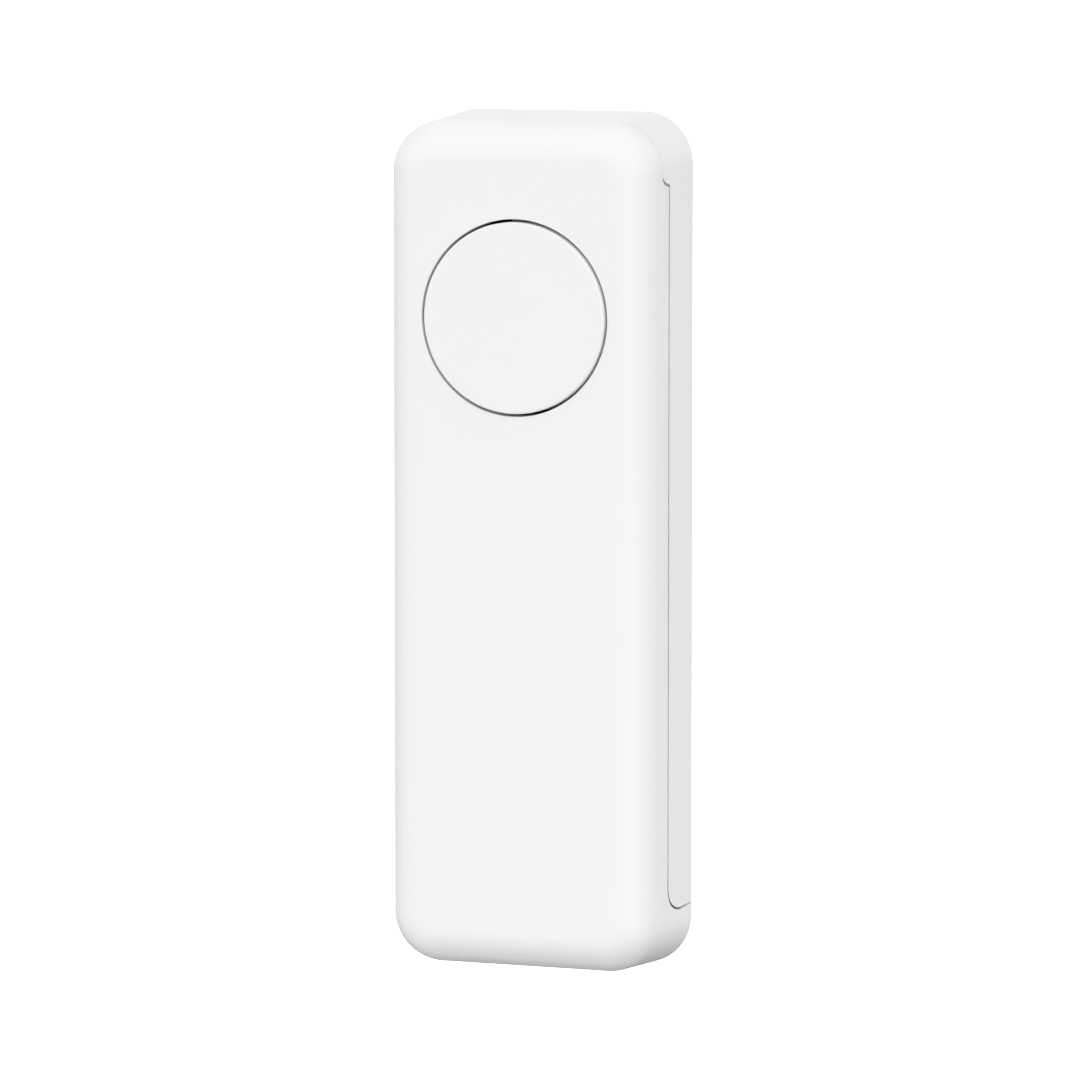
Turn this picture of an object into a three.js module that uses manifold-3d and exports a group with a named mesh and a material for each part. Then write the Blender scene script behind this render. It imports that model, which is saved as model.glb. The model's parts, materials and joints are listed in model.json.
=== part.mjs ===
// Door contact sensor: a slim upright case with a round push button on its face.
// The rear cover stays on the door frame. The front case, with the circuit board and the coin cell, clips
// into it.
//
// Millimetres. Inside the assembly x runs to the right, y is the depth behind the flat front face, and z runs
// up from mid-height. The exported group moves that frame so that its origin is the centre of the adhesive
// pad's outer face, with the front of the sensor facing -Y.

import * as THREE from "three";
import { mergeVertices } from "three/addons/utils/BufferGeometryUtils.js";
import Module from "manifold-3d";

const wasm = await Module();
wasm.setup();

// ---- Driving dimensions ----

const BODY = { width: 26.6, height: 82, depth: 13, corner: 4.9, fillet: 3.4, endTaper: 0.9 };
const WALL = 1.5;
const BACK_WALL = 1.5;
const ROOT = 0.3; // how far a rib or a boss runs into the wall that it grows from

// The parting line, seen from the side: down from the top, back under the cover's tab, down the side wall,
// and back again above the case's foot. A bend is the control point of a curve.
const SEAM = {
  topDepth: 4.3,
  sideDepth: 6.1,
  tabStart: 35.05,
  tabBend: [4.75, 34.5],
  tabEnd: 34.33,
  footStart: -32.3,
  footBend: -34.6,
  footEnd: [9.4, -34.95],
  footRise: 0.1,
};
const SEAM_GAP = 0.2;
const LAP = { depth: 0.9, thickness: 0.6, clearance: 0.15, behind: 1.5 };

const CLIPS = { z: [26, 1, -25], front: 3.8, length: 5, thickness: 0.8 };
const COVER_RIBS = { z: [12, 19, 33], height: 1, thickness: 0.8 };

const BUTTON = { z: 21.9, radius: 9.1, gap: 0.2, proud: 0.35, edge: 0.3, thickness: 1.5 };
const SKIRT = { thickness: 0.9, end: 2.6 };
const BUTTON_POST = 1.6;
const GUIDE = { thickness: 1.1, end: 3.2 };
const HOOK = { width: 3, lip: 0.9, height: 0.7, clearance: 0.05 };

const BOARD = { width: 21.4, height: 74.4, corner: 3, front: 6.2, thickness: 1 };
const SOLDER = 0.03;
const SCREW = { x: 8.2, z: [34.2, -32.2], headRadius: 1.75, headHeight: 1.1, shank: 0.85, length: 4.4 };
const BOSS = { radius: 1.9, pilot: 0.95 };
const BOARD_RIBS = { places: [[-1, 7.5], [1, 7.5], [-1, -12]], inner: 7.8, thickness: 1 };

const CELL = { z: -8, radius: 10, thickness: 3.2, gapToBoard: 0.45 };
const PAD = { width: 18, height: 60, corner: 2.5, recess: 0.5, proud: 0.5, clearance: 0.2 };

// ---- Derived places ----

const BOARD_BACK = BOARD.front + BOARD.thickness;
const CELL_FRONT = BOARD_BACK + CELL.gapToBoard;
const CELL_BACK = CELL_FRONT + CELL.thickness;
const INNER_BACK = BODY.depth - BACK_WALL;
const INNER_HALF_WIDTH = BODY.width / 2 - WALL;
const HOLE_RADIUS = BUTTON.radius + BUTTON.gap;
const PAD_FACE = BODY.depth + PAD.proud;
const ROUND = 48;

// ---- Materials ----

function finish(color, roughness, metalness = 0) {
  return new THREE.MeshStandardMaterial({ color, roughness, metalness });
}

const CASE_WHITE = finish(0xf3f3f2, 0.42);
const BUTTON_WHITE = finish(0xf3f3f3, 0.45);
const FOAM_GREY = finish(0x8d9095, 0.95);
const SPONGE_BLACK = finish(0x2a2a2c, 0.98);
const BOARD_GREEN = finish(0x1d5b3a, 0.45);
const STEEL = finish(0xc4c5c3, 0.3, 1);
const NICKEL = finish(0xb9b6ab, 0.25, 1);
const BLACK_PLASTIC = finish(0x1c1c1e, 0.5);
const IC_BLACK = finish(0x26272a, 0.6);
const GLASS = finish(0xb8d8c4, 0.05);
const CERAMIC = finish(0xd9d2c0, 0.6);
const TAN_CERAMIC = finish(0xa98a64, 0.55);
const CLEAR_LENS = finish(0xf2ecc8, 0.2);
const GASKET_GREY = finish(0x5b5d60, 0.6);
const CATHODE_BLACK = finish(0x141414, 0.9);

// ---- Geometry helpers ----

/** A closed geometry as a manifold-3d solid. */
function solid(geometry) {
  const bare = new THREE.BufferGeometry();
  const source = geometry.index ? geometry.toNonIndexed() : geometry;
  bare.setAttribute("position", source.getAttribute("position"));
  const merged = mergeVertices(bare, 1e-4);
  return new wasm.Manifold(new wasm.Mesh({
    numProp: 3,
    vertProperties: merged.attributes.position.array,
    triVerts: new Uint32Array(merged.index.array),
  }));
}

/** A manifold-3d solid as a flat-shaded geometry. */
function geometryOf(body) {
  const mesh = body.getMesh();
  const position = new Float32Array(mesh.numVert * 3);
  for (let i = 0; i < mesh.numVert; i++) {
    position.set(mesh.vertProperties.subarray(i * mesh.numProp, i * mesh.numProp + 3), i * 3);
  }
  const indexed = new THREE.BufferGeometry();
  indexed.setAttribute("position", new THREE.BufferAttribute(position, 3));
  indexed.setIndex(new THREE.BufferAttribute(mesh.triVerts, 1));
  const geometry = indexed.toNonIndexed();
  geometry.computeVertexNormals();
  return geometry;
}

/** A box between two corners. */
function boxGeometry([x0, y0, z0], [x1, y1, z1]) {
  const box = new THREE.BoxGeometry(x1 - x0, y1 - y0, z1 - z0);
  return box.translate((x0 + x1) / 2, (y0 + y1) / 2, (z0 + z1) / 2);
}

function box(low, high) {
  return solid(boxGeometry(low, high));
}

/** A round bar along the depth, from depth `from` to depth `to`. */
function bar(radius, from, to, x, z, segments = 24) {
  const cylinder = new THREE.CylinderGeometry(radius, radius, to - from, segments);
  return solid(cylinder.translate(x, (from + to) / 2, z));
}

function roundedRectangle(width, height, radius) {
  const x = width / 2 - radius;
  const y = height / 2 - radius;
  const shape = new THREE.Shape();
  shape.absarc(x, -y, radius, -Math.PI / 2, 0);
  shape.absarc(x, y, radius, 0, Math.PI / 2);
  shape.absarc(-x, y, radius, Math.PI / 2, Math.PI);
  shape.absarc(-x, -y, radius, Math.PI, 1.5 * Math.PI);
  return shape;
}

/** An outline in x and z, extruded from depth `from` to depth `to`. */
function plateGeometry(shape, from, to, curveSegments = 4) {
  const plate = new THREE.ExtrudeGeometry(shape, { depth: to - from, bevelEnabled: false, curveSegments });
  return plate.rotateX(Math.PI / 2).translate(0, to, 0);
}

/** An outline in depth and z, extruded across x and centred on x = 0. */
function acrossGeometry(shape, width, curveSegments = 6) {
  const prism = new THREE.ExtrudeGeometry(shape, { depth: width, bevelEnabled: false, curveSegments });
  const turn = new THREE.Matrix4().makeBasis(
    new THREE.Vector3(0, 1, 0), new THREE.Vector3(0, 0, 1), new THREE.Vector3(1, 0, 0));
  return prism.applyMatrix4(turn).translate(-width / 2, 0, 0);
}

/** A strip of sheet metal of constant thickness that follows bend points given as [depth, z]. */
function bentStripGeometry(points, thickness, width) {
  const sides = [1, -1].map((side) => points.map(([y, z], i) => {
    const before = points[Math.max(i - 1, 0)];
    const after = points[Math.min(i + 1, points.length - 1)];
    const along = new THREE.Vector2(after[0] - before[0], after[1] - before[1]).normalize();
    return new THREE.Vector2(y - (side * along.y * thickness) / 2, z + (side * along.x * thickness) / 2);
  }));
  return acrossGeometry(new THREE.Shape([...sides[0], ...sides[1].reverse()]), width);
}

function lathe(profile, segments = ROUND) {
  return new THREE.LatheGeometry(profile.map(([r, y]) => new THREE.Vector2(r, y)), segments);
}

/** Points of a circular arc as [a, b] pairs, angles in quarter turns. */
function arcPoints(centreA, centreB, radius, startQuarter, endQuarter, steps) {
  return Array.from({ length: steps + 1 }, (_, i) => {
    const angle = (startQuarter + ((endQuarter - startQuarter) * i) / steps) * (Math.PI / 2);
    return [centreA + radius * Math.cos(angle), centreB + radius * Math.sin(angle)];
  });
}

function part(name, geometry, material, x = 0, y = 0, z = 0) {
  const mesh = new THREE.Mesh(geometry, material);
  mesh.name = name;
  mesh.position.set(x, y, z);
  return mesh;
}

function group(...children) {
  return new THREE.Group().add(...children);
}

// ---- The case's outer form and the line that parts it ----

/** The case set in by `inset`: a slab with a rounded front edge, whose ends lean in towards the front. */
function caseForm(inset, backDepth) {
  const round = BODY.fillet - inset;
  const outline = roundedRectangle(BODY.width - 2 * inset, BODY.height - 2 * inset, BODY.corner - inset);
  const slab = new THREE.ExtrudeGeometry(outline, {
    depth: BODY.depth,
    bevelThickness: round,
    bevelSize: round,
    bevelOffset: -round,
    bevelSegments: 6,
    curveSegments: 4,
  });
  slab.rotateX(-Math.PI / 2).translate(0, inset + round, 0);
  const position = slab.getAttribute("position");
  for (let i = 0; i < position.count; i++) {
    const share = 1 - position.getY(i) / BODY.depth;
    position.setZ(i, position.getZ(i) * (1 - (share * BODY.endTaper) / (BODY.height / 2)));
  }
  const behind = box([-BODY.width, backDepth, -BODY.height], [BODY.width, 3 * BODY.depth, BODY.height]);
  return solid(slab).subtract(behind);
}

/** A line of [depth, z] points, each moved by `distance` to the line's right along the mitre of its sides. */
function offsetLine(points, distance) {
  return points.map(([y, z], i) => {
    const before = points[Math.max(i - 1, 0)];
    const after = points[Math.min(i + 1, points.length - 1)];
    const into = new THREE.Vector2(y - before[0], z - before[1]).normalize();
    const out = new THREE.Vector2(after[0] - y, after[1] - z).normalize();
    const mitre = new THREE.Vector2(into.y + out.y, -into.x - out.x);
    const reach = (2 * distance) / mitre.lengthSq();
    const ends = i === 0 || i === points.length - 1 ? 0.5 : 1;
    return [y + mitre.x * reach * ends, z + mitre.y * reach * ends];
  });
}

/** Everything behind the parting line, grown towards the front case by `grow`. Both sides are the same. */
function zoneBehindSeam(grow) {
  const past = 2 * BODY.depth;
  const [footDepth, footZ] = SEAM.footEnd;
  const rise = (SEAM.footRise * (past - footDepth)) / (BODY.depth - footDepth);
  const [top, tabStart, tabBend, tabEnd, footStart, footBend, footEnd, end] = offsetLine([
    [SEAM.topDepth, BODY.height],
    [SEAM.topDepth, SEAM.tabStart],
    SEAM.tabBend,
    [SEAM.sideDepth, SEAM.tabEnd],
    [SEAM.sideDepth, SEAM.footStart],
    [SEAM.sideDepth, SEAM.footBend],
    SEAM.footEnd,
    [past, footZ + rise],
  ], grow);
  const outline = new THREE.Shape();
  outline.moveTo(past, BODY.height);
  outline.lineTo(...top);
  outline.lineTo(...tabStart);
  outline.quadraticCurveTo(...tabBend, ...tabEnd);
  outline.lineTo(...footStart);
  outline.quadraticCurveTo(...footBend, ...footEnd);
  outline.lineTo(...end);
  return solid(acrossGeometry(outline, 2 * BODY.width));
}

/** The case's walls, closed all round. */
function caseWalls() {
  return caseForm(0, BODY.depth).subtract(caseForm(WALL, INNER_BACK));
}

/** A thin band just inside the wall, which the cover's lip and its rebate share. It stops above the foot. */
function lapBand(outerInset, reach) {
  const band = caseForm(outerInset, BODY.depth - 1).subtract(caseForm(WALL, BODY.depth));
  const bottom = SEAM.footStart + 2 - reach;
  const aboveFoot = box([-BODY.width, 0, bottom], [BODY.width, SEAM.sideDepth + LAP.behind, BODY.height]);
  return band.intersect(zoneBehindSeam(reach)).intersect(aboveFoot);
}

// ---- Front case ----

function screwPlaces() {
  return SCREW.z.flatMap((z) => [[-SCREW.x, z], [SCREW.x, z]]);
}

/** A rib that carries the edge of the board, from the side wall inwards. */
function boardRib(side, z) {
  const half = BOARD_RIBS.thickness / 2;
  const end = BOARD.front - SOLDER;
  const rib = box([BOARD_RIBS.inner, WALL - ROOT, z - half], [INNER_HALF_WIDTH + ROOT, end, z + half]);
  const lipFront = SEAM.sideDepth - LAP.depth - 0.5;
  const lipRoom = box([INNER_HALF_WIDTH - 1.1, lipFront, z - 1], [INNER_HALF_WIDTH + 1, BOARD.front, z + 1]);
  const relieved = rib.subtract(lipRoom);
  return side > 0 ? relieved : relieved.mirror([1, 0, 0]);
}

function frontShell() {
  let shell = caseWalls().subtract(zoneBehindSeam(SEAM_GAP / 2));
  const rebate = lapBand(WALL - LAP.thickness - LAP.clearance, LAP.depth + SEAM_GAP);
  shell = shell.subtract(rebate);
  shell = shell.add(bar(HOLE_RADIUS + GUIDE.thickness, WALL - ROOT, GUIDE.end, 0, BUTTON.z, ROUND));
  for (const [x, z] of screwPlaces()) {
    shell = shell.add(bar(BOSS.radius, WALL - ROOT, BOARD.front - SOLDER, x, z));
  }
  for (const [side, z] of BOARD_RIBS.places) {
    shell = shell.add(boardRib(side, z));
  }
  for (const [x, z] of screwPlaces()) {
    shell = shell.subtract(bar(BOSS.pilot, WALL + 0.5, BOARD.front + 1, x, z, 16));
  }
  shell = shell.subtract(bar(HOLE_RADIUS, -1, GUIDE.end + 1, 0, BUTTON.z, ROUND));
  return part("front_shell", geometryOf(shell), CASE_WHITE);
}

// ---- Rear cover ----

/** A clip arm that stands forward from inside the cover's side wall into the front case. */
function clipArm(side, z) {
  const outer = INNER_HALF_WIDTH - 0.1;
  const [low, high] = [z - CLIPS.length / 2, z + CLIPS.length / 2];
  const back = INNER_BACK + ROOT;
  const arm = box([outer - CLIPS.thickness, CLIPS.front, low], [outer, back, high]);
  const root = box([outer - 0.1, SEAM.sideDepth + 0.6, low], [INNER_HALF_WIDTH + ROOT, back, high]);
  const clip = arm.add(root);
  return side > 0 ? clip : clip.mirror([1, 0, 0]);
}

function backCover() {
  let cover = caseWalls().intersect(zoneBehindSeam(-SEAM_GAP / 2));
  cover = cover.add(lapBand(WALL - LAP.thickness, LAP.depth));
  for (const z of CLIPS.z) {
    cover = cover.add(clipArm(-1, z)).add(clipArm(1, z));
  }
  const [reach, half] = [INNER_HALF_WIDTH - 1, COVER_RIBS.thickness / 2];
  for (const z of COVER_RIBS.z) {
    const front = INNER_BACK - COVER_RIBS.height;
    cover = cover.add(box([-reach, front, z - half], [reach, INNER_BACK + ROOT, z + half]));
  }
  const recess = roundedRectangle(PAD.width + 2 * PAD.clearance, PAD.height + 2 * PAD.clearance, PAD.corner);
  cover = cover.subtract(solid(plateGeometry(recess, BODY.depth - PAD.recess, BODY.depth + 1)));
  return part("back_cover", geometryOf(cover), CASE_WHITE);
}

function adhesivePad() {
  const outline = roundedRectangle(PAD.width, PAD.height, PAD.corner);
  return part("adhesive_pad", plateGeometry(outline, BODY.depth - PAD.recess + SOLDER, PAD_FACE), FOAM_GREY);
}

function cellFoam() {
  const outline = roundedRectangle(12, 12, 1);
  const foam = plateGeometry(outline, CELL_BACK + 0.05, INNER_BACK - SOLDER);
  return part("cell_foam", foam, SPONGE_BLACK, 0, 0, CELL.z);
}

// ---- Button ----

function buttonCap() {
  const face = -BUTTON.proud;
  const inside = face + BUTTON.thickness;
  const { radius, edge } = BUTTON;
  let cap = solid(lathe([
    [0, face],
    ...arcPoints(radius - edge, face + edge, edge, -1, 0, 4),
    [radius, SKIRT.end],
    [radius - SKIRT.thickness, SKIRT.end],
    [radius - SKIRT.thickness, inside],
    [0, inside],
  ]));
  cap = cap.add(bar(BUTTON_POST, inside - ROOT, stemTop() - 0.05, 0, 0, 20));
  const hookStart = GUIDE.end + HOOK.clearance;
  const hookEnd = hookStart + HOOK.height;
  const half = HOOK.width / 2;
  const leg = box([-half, SKIRT.end - ROOT, radius - 0.8], [half, hookEnd, radius - 0.1]);
  const hook = leg.add(box([-half, hookStart, radius - 0.3], [half, hookEnd, radius + HOOK.lip]));
  const ribEnd = radius - SKIRT.thickness + ROOT;
  const rib = box([BUTTON_POST / 2, inside - ROOT, -0.35], [ribEnd, inside + 0.5, 0.35]);
  for (let i = 0; i < 3; i++) {
    cap = cap.add(hook.rotate([0, 120 * i, 0])).add(rib.rotate([0, 120 * i + 30, 0]));
  }
  return part("button_cap", geometryOf(cap), BUTTON_WHITE, 0, 0, BUTTON.z);
}

// ---- Push switch under the button ----

const SWITCH = { side: 6, height: 2.85, plate: 0.25, cavity: 2.5, dome: 2.3 };
const STEM = { radius: 1.7, height: 1.1, flange: 2.2 };

function switchTop() {
  return BOARD.front - SOLDER - SWITCH.height;
}

function stemTop() {
  return switchTop() - SWITCH.plate - STEM.height;
}

function pushSwitch() {
  const half = SWITCH.side / 2;
  const top = switchTop();
  const plateTop = top - SWITCH.plate;
  const flangeTop = top + 0.1;
  const domeTop = flangeTop + 0.65;
  const domeRim = domeTop + 0.45;
  const housing = box([-half, top, -half], [half, BOARD.front - SOLDER, half])
    .subtract(bar(SWITCH.cavity, top - 1, domeRim + 0.15, 0, 0));
  const plate = box([-half, plateTop, -half], [half, top - 0.02, half])
    .subtract(bar(STEM.radius + 0.15, plateTop - 1, top + 1, 0, 0));
  const stem = lathe([
    [0, stemTop()],
    [STEM.radius - 0.15, stemTop()],
    [STEM.radius, stemTop() + 0.15],
    [STEM.radius, flangeTop],
    [STEM.flange, flangeTop],
    [STEM.flange, flangeTop + 0.6],
    [0, flangeTop + 0.6],
  ], 24);
  const dome = lathe([
    [0, domeTop],
    [SWITCH.dome * 0.5, domeTop + 0.08],
    [SWITCH.dome, domeRim - 0.05],
    [SWITCH.dome - 0.1, domeRim],
    [SWITCH.dome * 0.5, domeTop + 0.2],
    [0, domeTop + 0.12],
  ], 24);
  const place = [0, 0, BUTTON.z];
  return group(
    part("switch_housing", geometryOf(housing), BLACK_PLASTIC, ...place),
    part("switch_plate", geometryOf(plate), STEEL, ...place),
    part("switch_dome", dome, STEEL, ...place),
    part("switch_stem", stem, BLACK_PLASTIC, ...place),
  );
}

// ---- Circuit board ----

function mainBoard() {
  const outline = roundedRectangle(BOARD.width, BOARD.height, BOARD.corner);
  for (const [x, z] of screwPlaces()) {
    outline.holes.push(new THREE.Path().absarc(x, z, SCREW.shank + 0.2, 0, 2 * Math.PI, true));
  }
  return part("main_board", plateGeometry(outline, BOARD.front, BOARD_BACK, 8), BOARD_GREEN);
}

function boardScrews() {
  const head = [SCREW.headRadius, SCREW.headHeight];
  const blank = solid(lathe([
    [0, -SCREW.length],
    [SCREW.shank * 0.4, -SCREW.length],
    [SCREW.shank, -SCREW.length + 0.8],
    [SCREW.shank, 0],
    [head[0], 0],
    [head[0], head[1] * 0.45],
    [head[0] * 0.82, head[1] * 0.85],
    [head[0] * 0.45, head[1]],
    [0, head[1]],
  ], 20));
  const slot = box([-1, head[1] - 0.55, -0.18], [1, head[1] + 1, 0.18]);
  const screw = geometryOf(blank.subtract(slot).subtract(slot.rotate([0, 90, 0])));
  const seat = BOARD_BACK + SOLDER;
  return group(...screwPlaces().map(([x, z], i) => part(`board_screw_${i + 1}`, screw, STEEL, x, seat, z)));
}

/** A block that stands on the board's front, its size as across, height off the board, and along z. */
function onBoardFront(name, [across, height, along], material, x, z) {
  const block = boxGeometry([-across / 2, -height, -along / 2], [across / 2, 0, along / 2]);
  return part(name, block, material, x, BOARD.front - SOLDER, z);
}

/** The same on the board's back. */
function onBoardBack(name, [across, height, along], material, x, z) {
  const block = boxGeometry([-across / 2, 0, -along / 2], [across / 2, height, along / 2]);
  return part(name, block, material, x, BOARD_BACK + SOLDER, z);
}

// ---- Radio: chip and crystal under a shield can, with the antenna at the board's foot ----

const RADIO = { z: -25.6, across: 12.4, along: 10.4, height: 1.8, sheet: 0.2 };

function radio() {
  const { height, sheet } = RADIO;
  const [x, z] = [RADIO.across / 2, RADIO.along / 2];
  const room = box([sheet - x, sheet - height, sheet - z], [x - sheet, 1, z - sheet]);
  const can = box([-x, -height, -z], [x, 0, z]).subtract(room);
  return group(
    part("radio_shield", geometryOf(can), NICKEL, 0, BOARD.front - SOLDER, RADIO.z),
    onBoardFront("radio_chip", [5, 0.85, 5], IC_BLACK, -2.2, RADIO.z + 0.8),
    onBoardFront("radio_crystal", [2, 0.6, 2.5], NICKEL, 3.6, RADIO.z - 1),
    onBoardFront("antenna", [6.4, 1.2, 2], CERAMIC, 0, -35),
  );
}

// ---- Reed switch, which a magnet on the door closes ----

const REED = { x: 8.1, z: -8, radius: 1.1, glass: 14, wall: 0.25, lead: 0.25, foot: 9.2 };
const REED_BLADE = { width: 0.9, thickness: 0.2, overlap: 0.9, gap: 0.1 };
const REED_DEPTH = BOARD.front - REED.radius - 0.35;

/** The glass tube along z, drawn in to a neck around the lead at both ends. */
function reedGlass() {
  const half = REED.glass / 2;
  const neck = REED.lead + 0.1;
  const inner = REED.radius - REED.wall;
  const tube = lathe([
    [inner, -half + 1.6],
    [inner, half - 1.6],
    [neck, half - 0.6],
    [neck, half],
    [neck + 0.3, half],
    [REED.radius, half - 1],
    [REED.radius, -half + 1],
    [neck + 0.3, -half],
    [neck, -half],
    [neck, -half + 0.6],
    [inner, -half + 1.6],
  ].reverse(), 20);
  return part("reed_glass", tube.rotateX(Math.PI / 2), GLASS, REED.x, REED_DEPTH, REED.z);
}

/** A lead from the board, up and through the glass neck, for the end at z = side. */
function reedLead(side, end) {
  const size = REED.lead * 1.6;
  const toBoard = BOARD.front - SOLDER - REED_DEPTH;
  const down = box([-size / 2, -size / 2, REED.foot - size], [size / 2, toBoard, REED.foot]);
  const along = box([-size / 2, -size / 2, end], [size / 2, size / 2, REED.foot]);
  const lead = down.add(along);
  return side > 0 ? lead : lead.mirror([0, 0, 1]);
}

function reedSwitch() {
  const pivot = REED.glass / 2 - 1.2;
  const near = REED_BLADE.gap / 2;
  const far = near + REED_BLADE.thickness;
  const half = REED_BLADE.width / 2;
  const reach = REED_BLADE.overlap / 2;
  const fixed = reedLead(1, pivot).add(box([-half, -far, -reach], [half, -near, pivot + 0.1]));
  const movingBlade = box([-half, near, -pivot], [half, far, reach]);
  const place = [REED.x, REED_DEPTH, REED.z];
  return group(
    reedGlass(),
    part("reed_blade_fixed", geometryOf(fixed), NICKEL, ...place),
    part("reed_blade_moving", geometryOf(movingBlade), NICKEL, ...place),
    part("reed_lead", geometryOf(reedLead(-1, pivot + 0.15)), NICKEL, ...place),
  );
}

// ---- Coin cell, its cradle and its two contacts ----

function coinCell() {
  const { radius, thickness } = CELL;
  const sheet = 0.3;
  const can = lathe([
    [0, thickness - sheet],
    [radius - sheet, thickness - sheet],
    [radius - sheet, 0.45],
    [radius - 0.75, 0.45],
    [radius - 0.75, 0.25],
    [radius - 0.2, 0.25],
    [radius, 0.45],
    ...arcPoints(radius - 0.3, thickness - 0.3, 0.3, 0, 1, 3),
    [0, thickness],
  ]);
  const gasket = lathe([
    [radius - 1.4, 0.1],
    [radius - 0.85, 0.1],
    [radius - 0.85, 0.55],
    [radius - sheet - 0.05, 0.55],
    [radius - sheet - 0.05, 1.2],
    [radius - 1.4, 1.2],
    [radius - 1.4, 0.1],
  ]);
  const cap = lathe([
    [0, 0],
    [radius - 1.75, 0],
    [radius - 1.45, 0.3],
    [radius - 1.45, 0.4],
    [0, 0.4],
  ]);
  const core = lathe([
    [0, 0.45],
    [radius - 1.5, 0.45],
    [radius - 1.5, thickness - sheet - 0.05],
    [0, thickness - sheet - 0.05],
  ]);
  const place = [0, CELL_FRONT, CELL.z];
  return group(
    part("cell_can", can, STEEL, ...place),
    part("cell_gasket", gasket, GASKET_GREY, ...place),
    part("cell_core", core, CATHODE_BLACK, ...place),
    part("cell_cap", cap, STEEL, ...place),
  );
}

/** A tray around the cell: a thin floor with a window, two curved walls, and a slot for the side contact. */
function cellCradle() {
  const inner = CELL.radius + 0.25;
  const outer = CELL.radius + 1.3;
  const floor = CELL.gapToBoard - 0.08;
  const side = 10.5;
  const tray = solid(lathe([
    [7.2, SOLDER],
    [outer, SOLDER],
    [outer, 2.4],
    [inner, 2.4],
    [inner, floor],
    [7.2, floor],
    [7.2, SOLDER],
  ]))
    .intersect(box([-side, -1, -20], [side, 5, 20]))
    .subtract(box([-3.2, -1, -20], [3.2, 5, -7.6]));
  return part("cell_cradle", geometryOf(tray), BLACK_PLASTIC, 0, BOARD_BACK, CELL.z);
}

function cellContacts() {
  const sheet = 0.2;
  const onBoard = SOLDER + sheet / 2;
  const underCell = CELL.gapToBoard - sheet / 2 - 0.02;
  const minus = bentStripGeometry([
    [onBoard, -6.4],
    [onBoard, -3.4],
    [underCell, 1.6],
    [underCell, 3],
    [onBoard + 0.08, 5.2],
  ], sheet, 4);
  const edge = -CELL.radius - sheet / 2 - 0.05;
  const plus = bentStripGeometry([
    [onBoard, edge - 3.6],
    [onBoard, edge - 1],
    [onBoard + 0.35, edge - 0.55],
    [1.9, edge],
    [2.7, edge],
    [3.5, edge - 0.6],
  ], sheet, 5);
  return group(
    part("cell_contact_minus", minus, NICKEL, 0, BOARD_BACK, CELL.z),
    part("cell_contact_plus", plus, NICKEL, 0, BOARD_BACK, CELL.z),
  );
}

// ---- The small parts on the board ----

function boardParts() {
  const chipResistor = [1.6, 0.5, 0.8];
  const capacitor = [3.2, 1.6, 2.5];
  return group(
    onBoardFront("status_led", [1.6, 0.6, 0.8], CLEAR_LENS, 0, BUTTON.z + 6),
    onBoardFront("capacitor_1", capacitor, TAN_CERAMIC, -7, -2),
    onBoardFront("capacitor_2", capacitor, TAN_CERAMIC, -7, -6),
    onBoardFront("resistor_1", chipResistor, IC_BLACK, 0, 4),
    onBoardFront("resistor_2", chipResistor, IC_BLACK, 0, 1.6),
    onBoardFront("resistor_3", chipResistor, IC_BLACK, 0, -0.8),
    onBoardFront("inductor", [2.5, 1.2, 2], IC_BLACK, -2.5, -13),
    onBoardBack("memory_chip", [4.9, 1.5, 3.9], IC_BLACK, 0, 21),
    onBoardBack("resistor_4", chipResistor, IC_BLACK, -5, 22.2),
    onBoardBack("resistor_5", chipResistor, IC_BLACK, -5, 19.8),
  );
}

// ---- Assembly ----

const sensor = group(
  backCover(),
  adhesivePad(),
  cellFoam(),
  frontShell(),
  buttonCap(),
  mainBoard(),
  boardScrews(),
  pushSwitch(),
  radio(),
  reedSwitch(),
  cellCradle(),
  cellContacts(),
  coinCell(),
  boardParts(),
);
sensor.position.y = -PAD_FACE;

export default group(sensor);
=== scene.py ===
"""Looks of the door contact sensor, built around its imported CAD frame.

Shapes are written in millimetres in the case's own coordinates: x to the right, y the depth behind
the flat front face, z up from mid-height. keep() moves a finished mesh into the frame, in metres.
"""

import json
import math

import bmesh
import bpy
from mathutils import Matrix, Vector

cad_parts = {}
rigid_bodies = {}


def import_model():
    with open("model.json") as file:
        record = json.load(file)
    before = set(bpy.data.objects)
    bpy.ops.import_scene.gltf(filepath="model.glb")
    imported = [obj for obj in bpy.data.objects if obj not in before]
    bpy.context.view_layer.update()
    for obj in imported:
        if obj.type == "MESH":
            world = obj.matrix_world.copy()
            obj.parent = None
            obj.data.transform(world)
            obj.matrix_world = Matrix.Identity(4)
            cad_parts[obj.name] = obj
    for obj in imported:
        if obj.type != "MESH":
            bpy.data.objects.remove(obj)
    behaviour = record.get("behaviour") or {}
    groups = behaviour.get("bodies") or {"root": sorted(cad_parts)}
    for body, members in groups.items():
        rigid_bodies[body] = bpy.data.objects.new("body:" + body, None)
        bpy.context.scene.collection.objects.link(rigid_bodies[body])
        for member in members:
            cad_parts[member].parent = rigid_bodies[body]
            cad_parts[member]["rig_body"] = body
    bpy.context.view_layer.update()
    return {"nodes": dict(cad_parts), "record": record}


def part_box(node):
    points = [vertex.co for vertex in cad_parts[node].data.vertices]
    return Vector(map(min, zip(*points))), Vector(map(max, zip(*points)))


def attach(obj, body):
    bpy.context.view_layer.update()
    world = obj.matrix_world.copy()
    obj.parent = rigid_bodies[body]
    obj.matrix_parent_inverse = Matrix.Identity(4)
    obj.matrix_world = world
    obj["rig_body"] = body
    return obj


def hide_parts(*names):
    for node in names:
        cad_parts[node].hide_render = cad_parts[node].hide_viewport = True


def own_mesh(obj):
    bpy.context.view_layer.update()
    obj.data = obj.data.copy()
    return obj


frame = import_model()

# ---- Sizes ----

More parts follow.
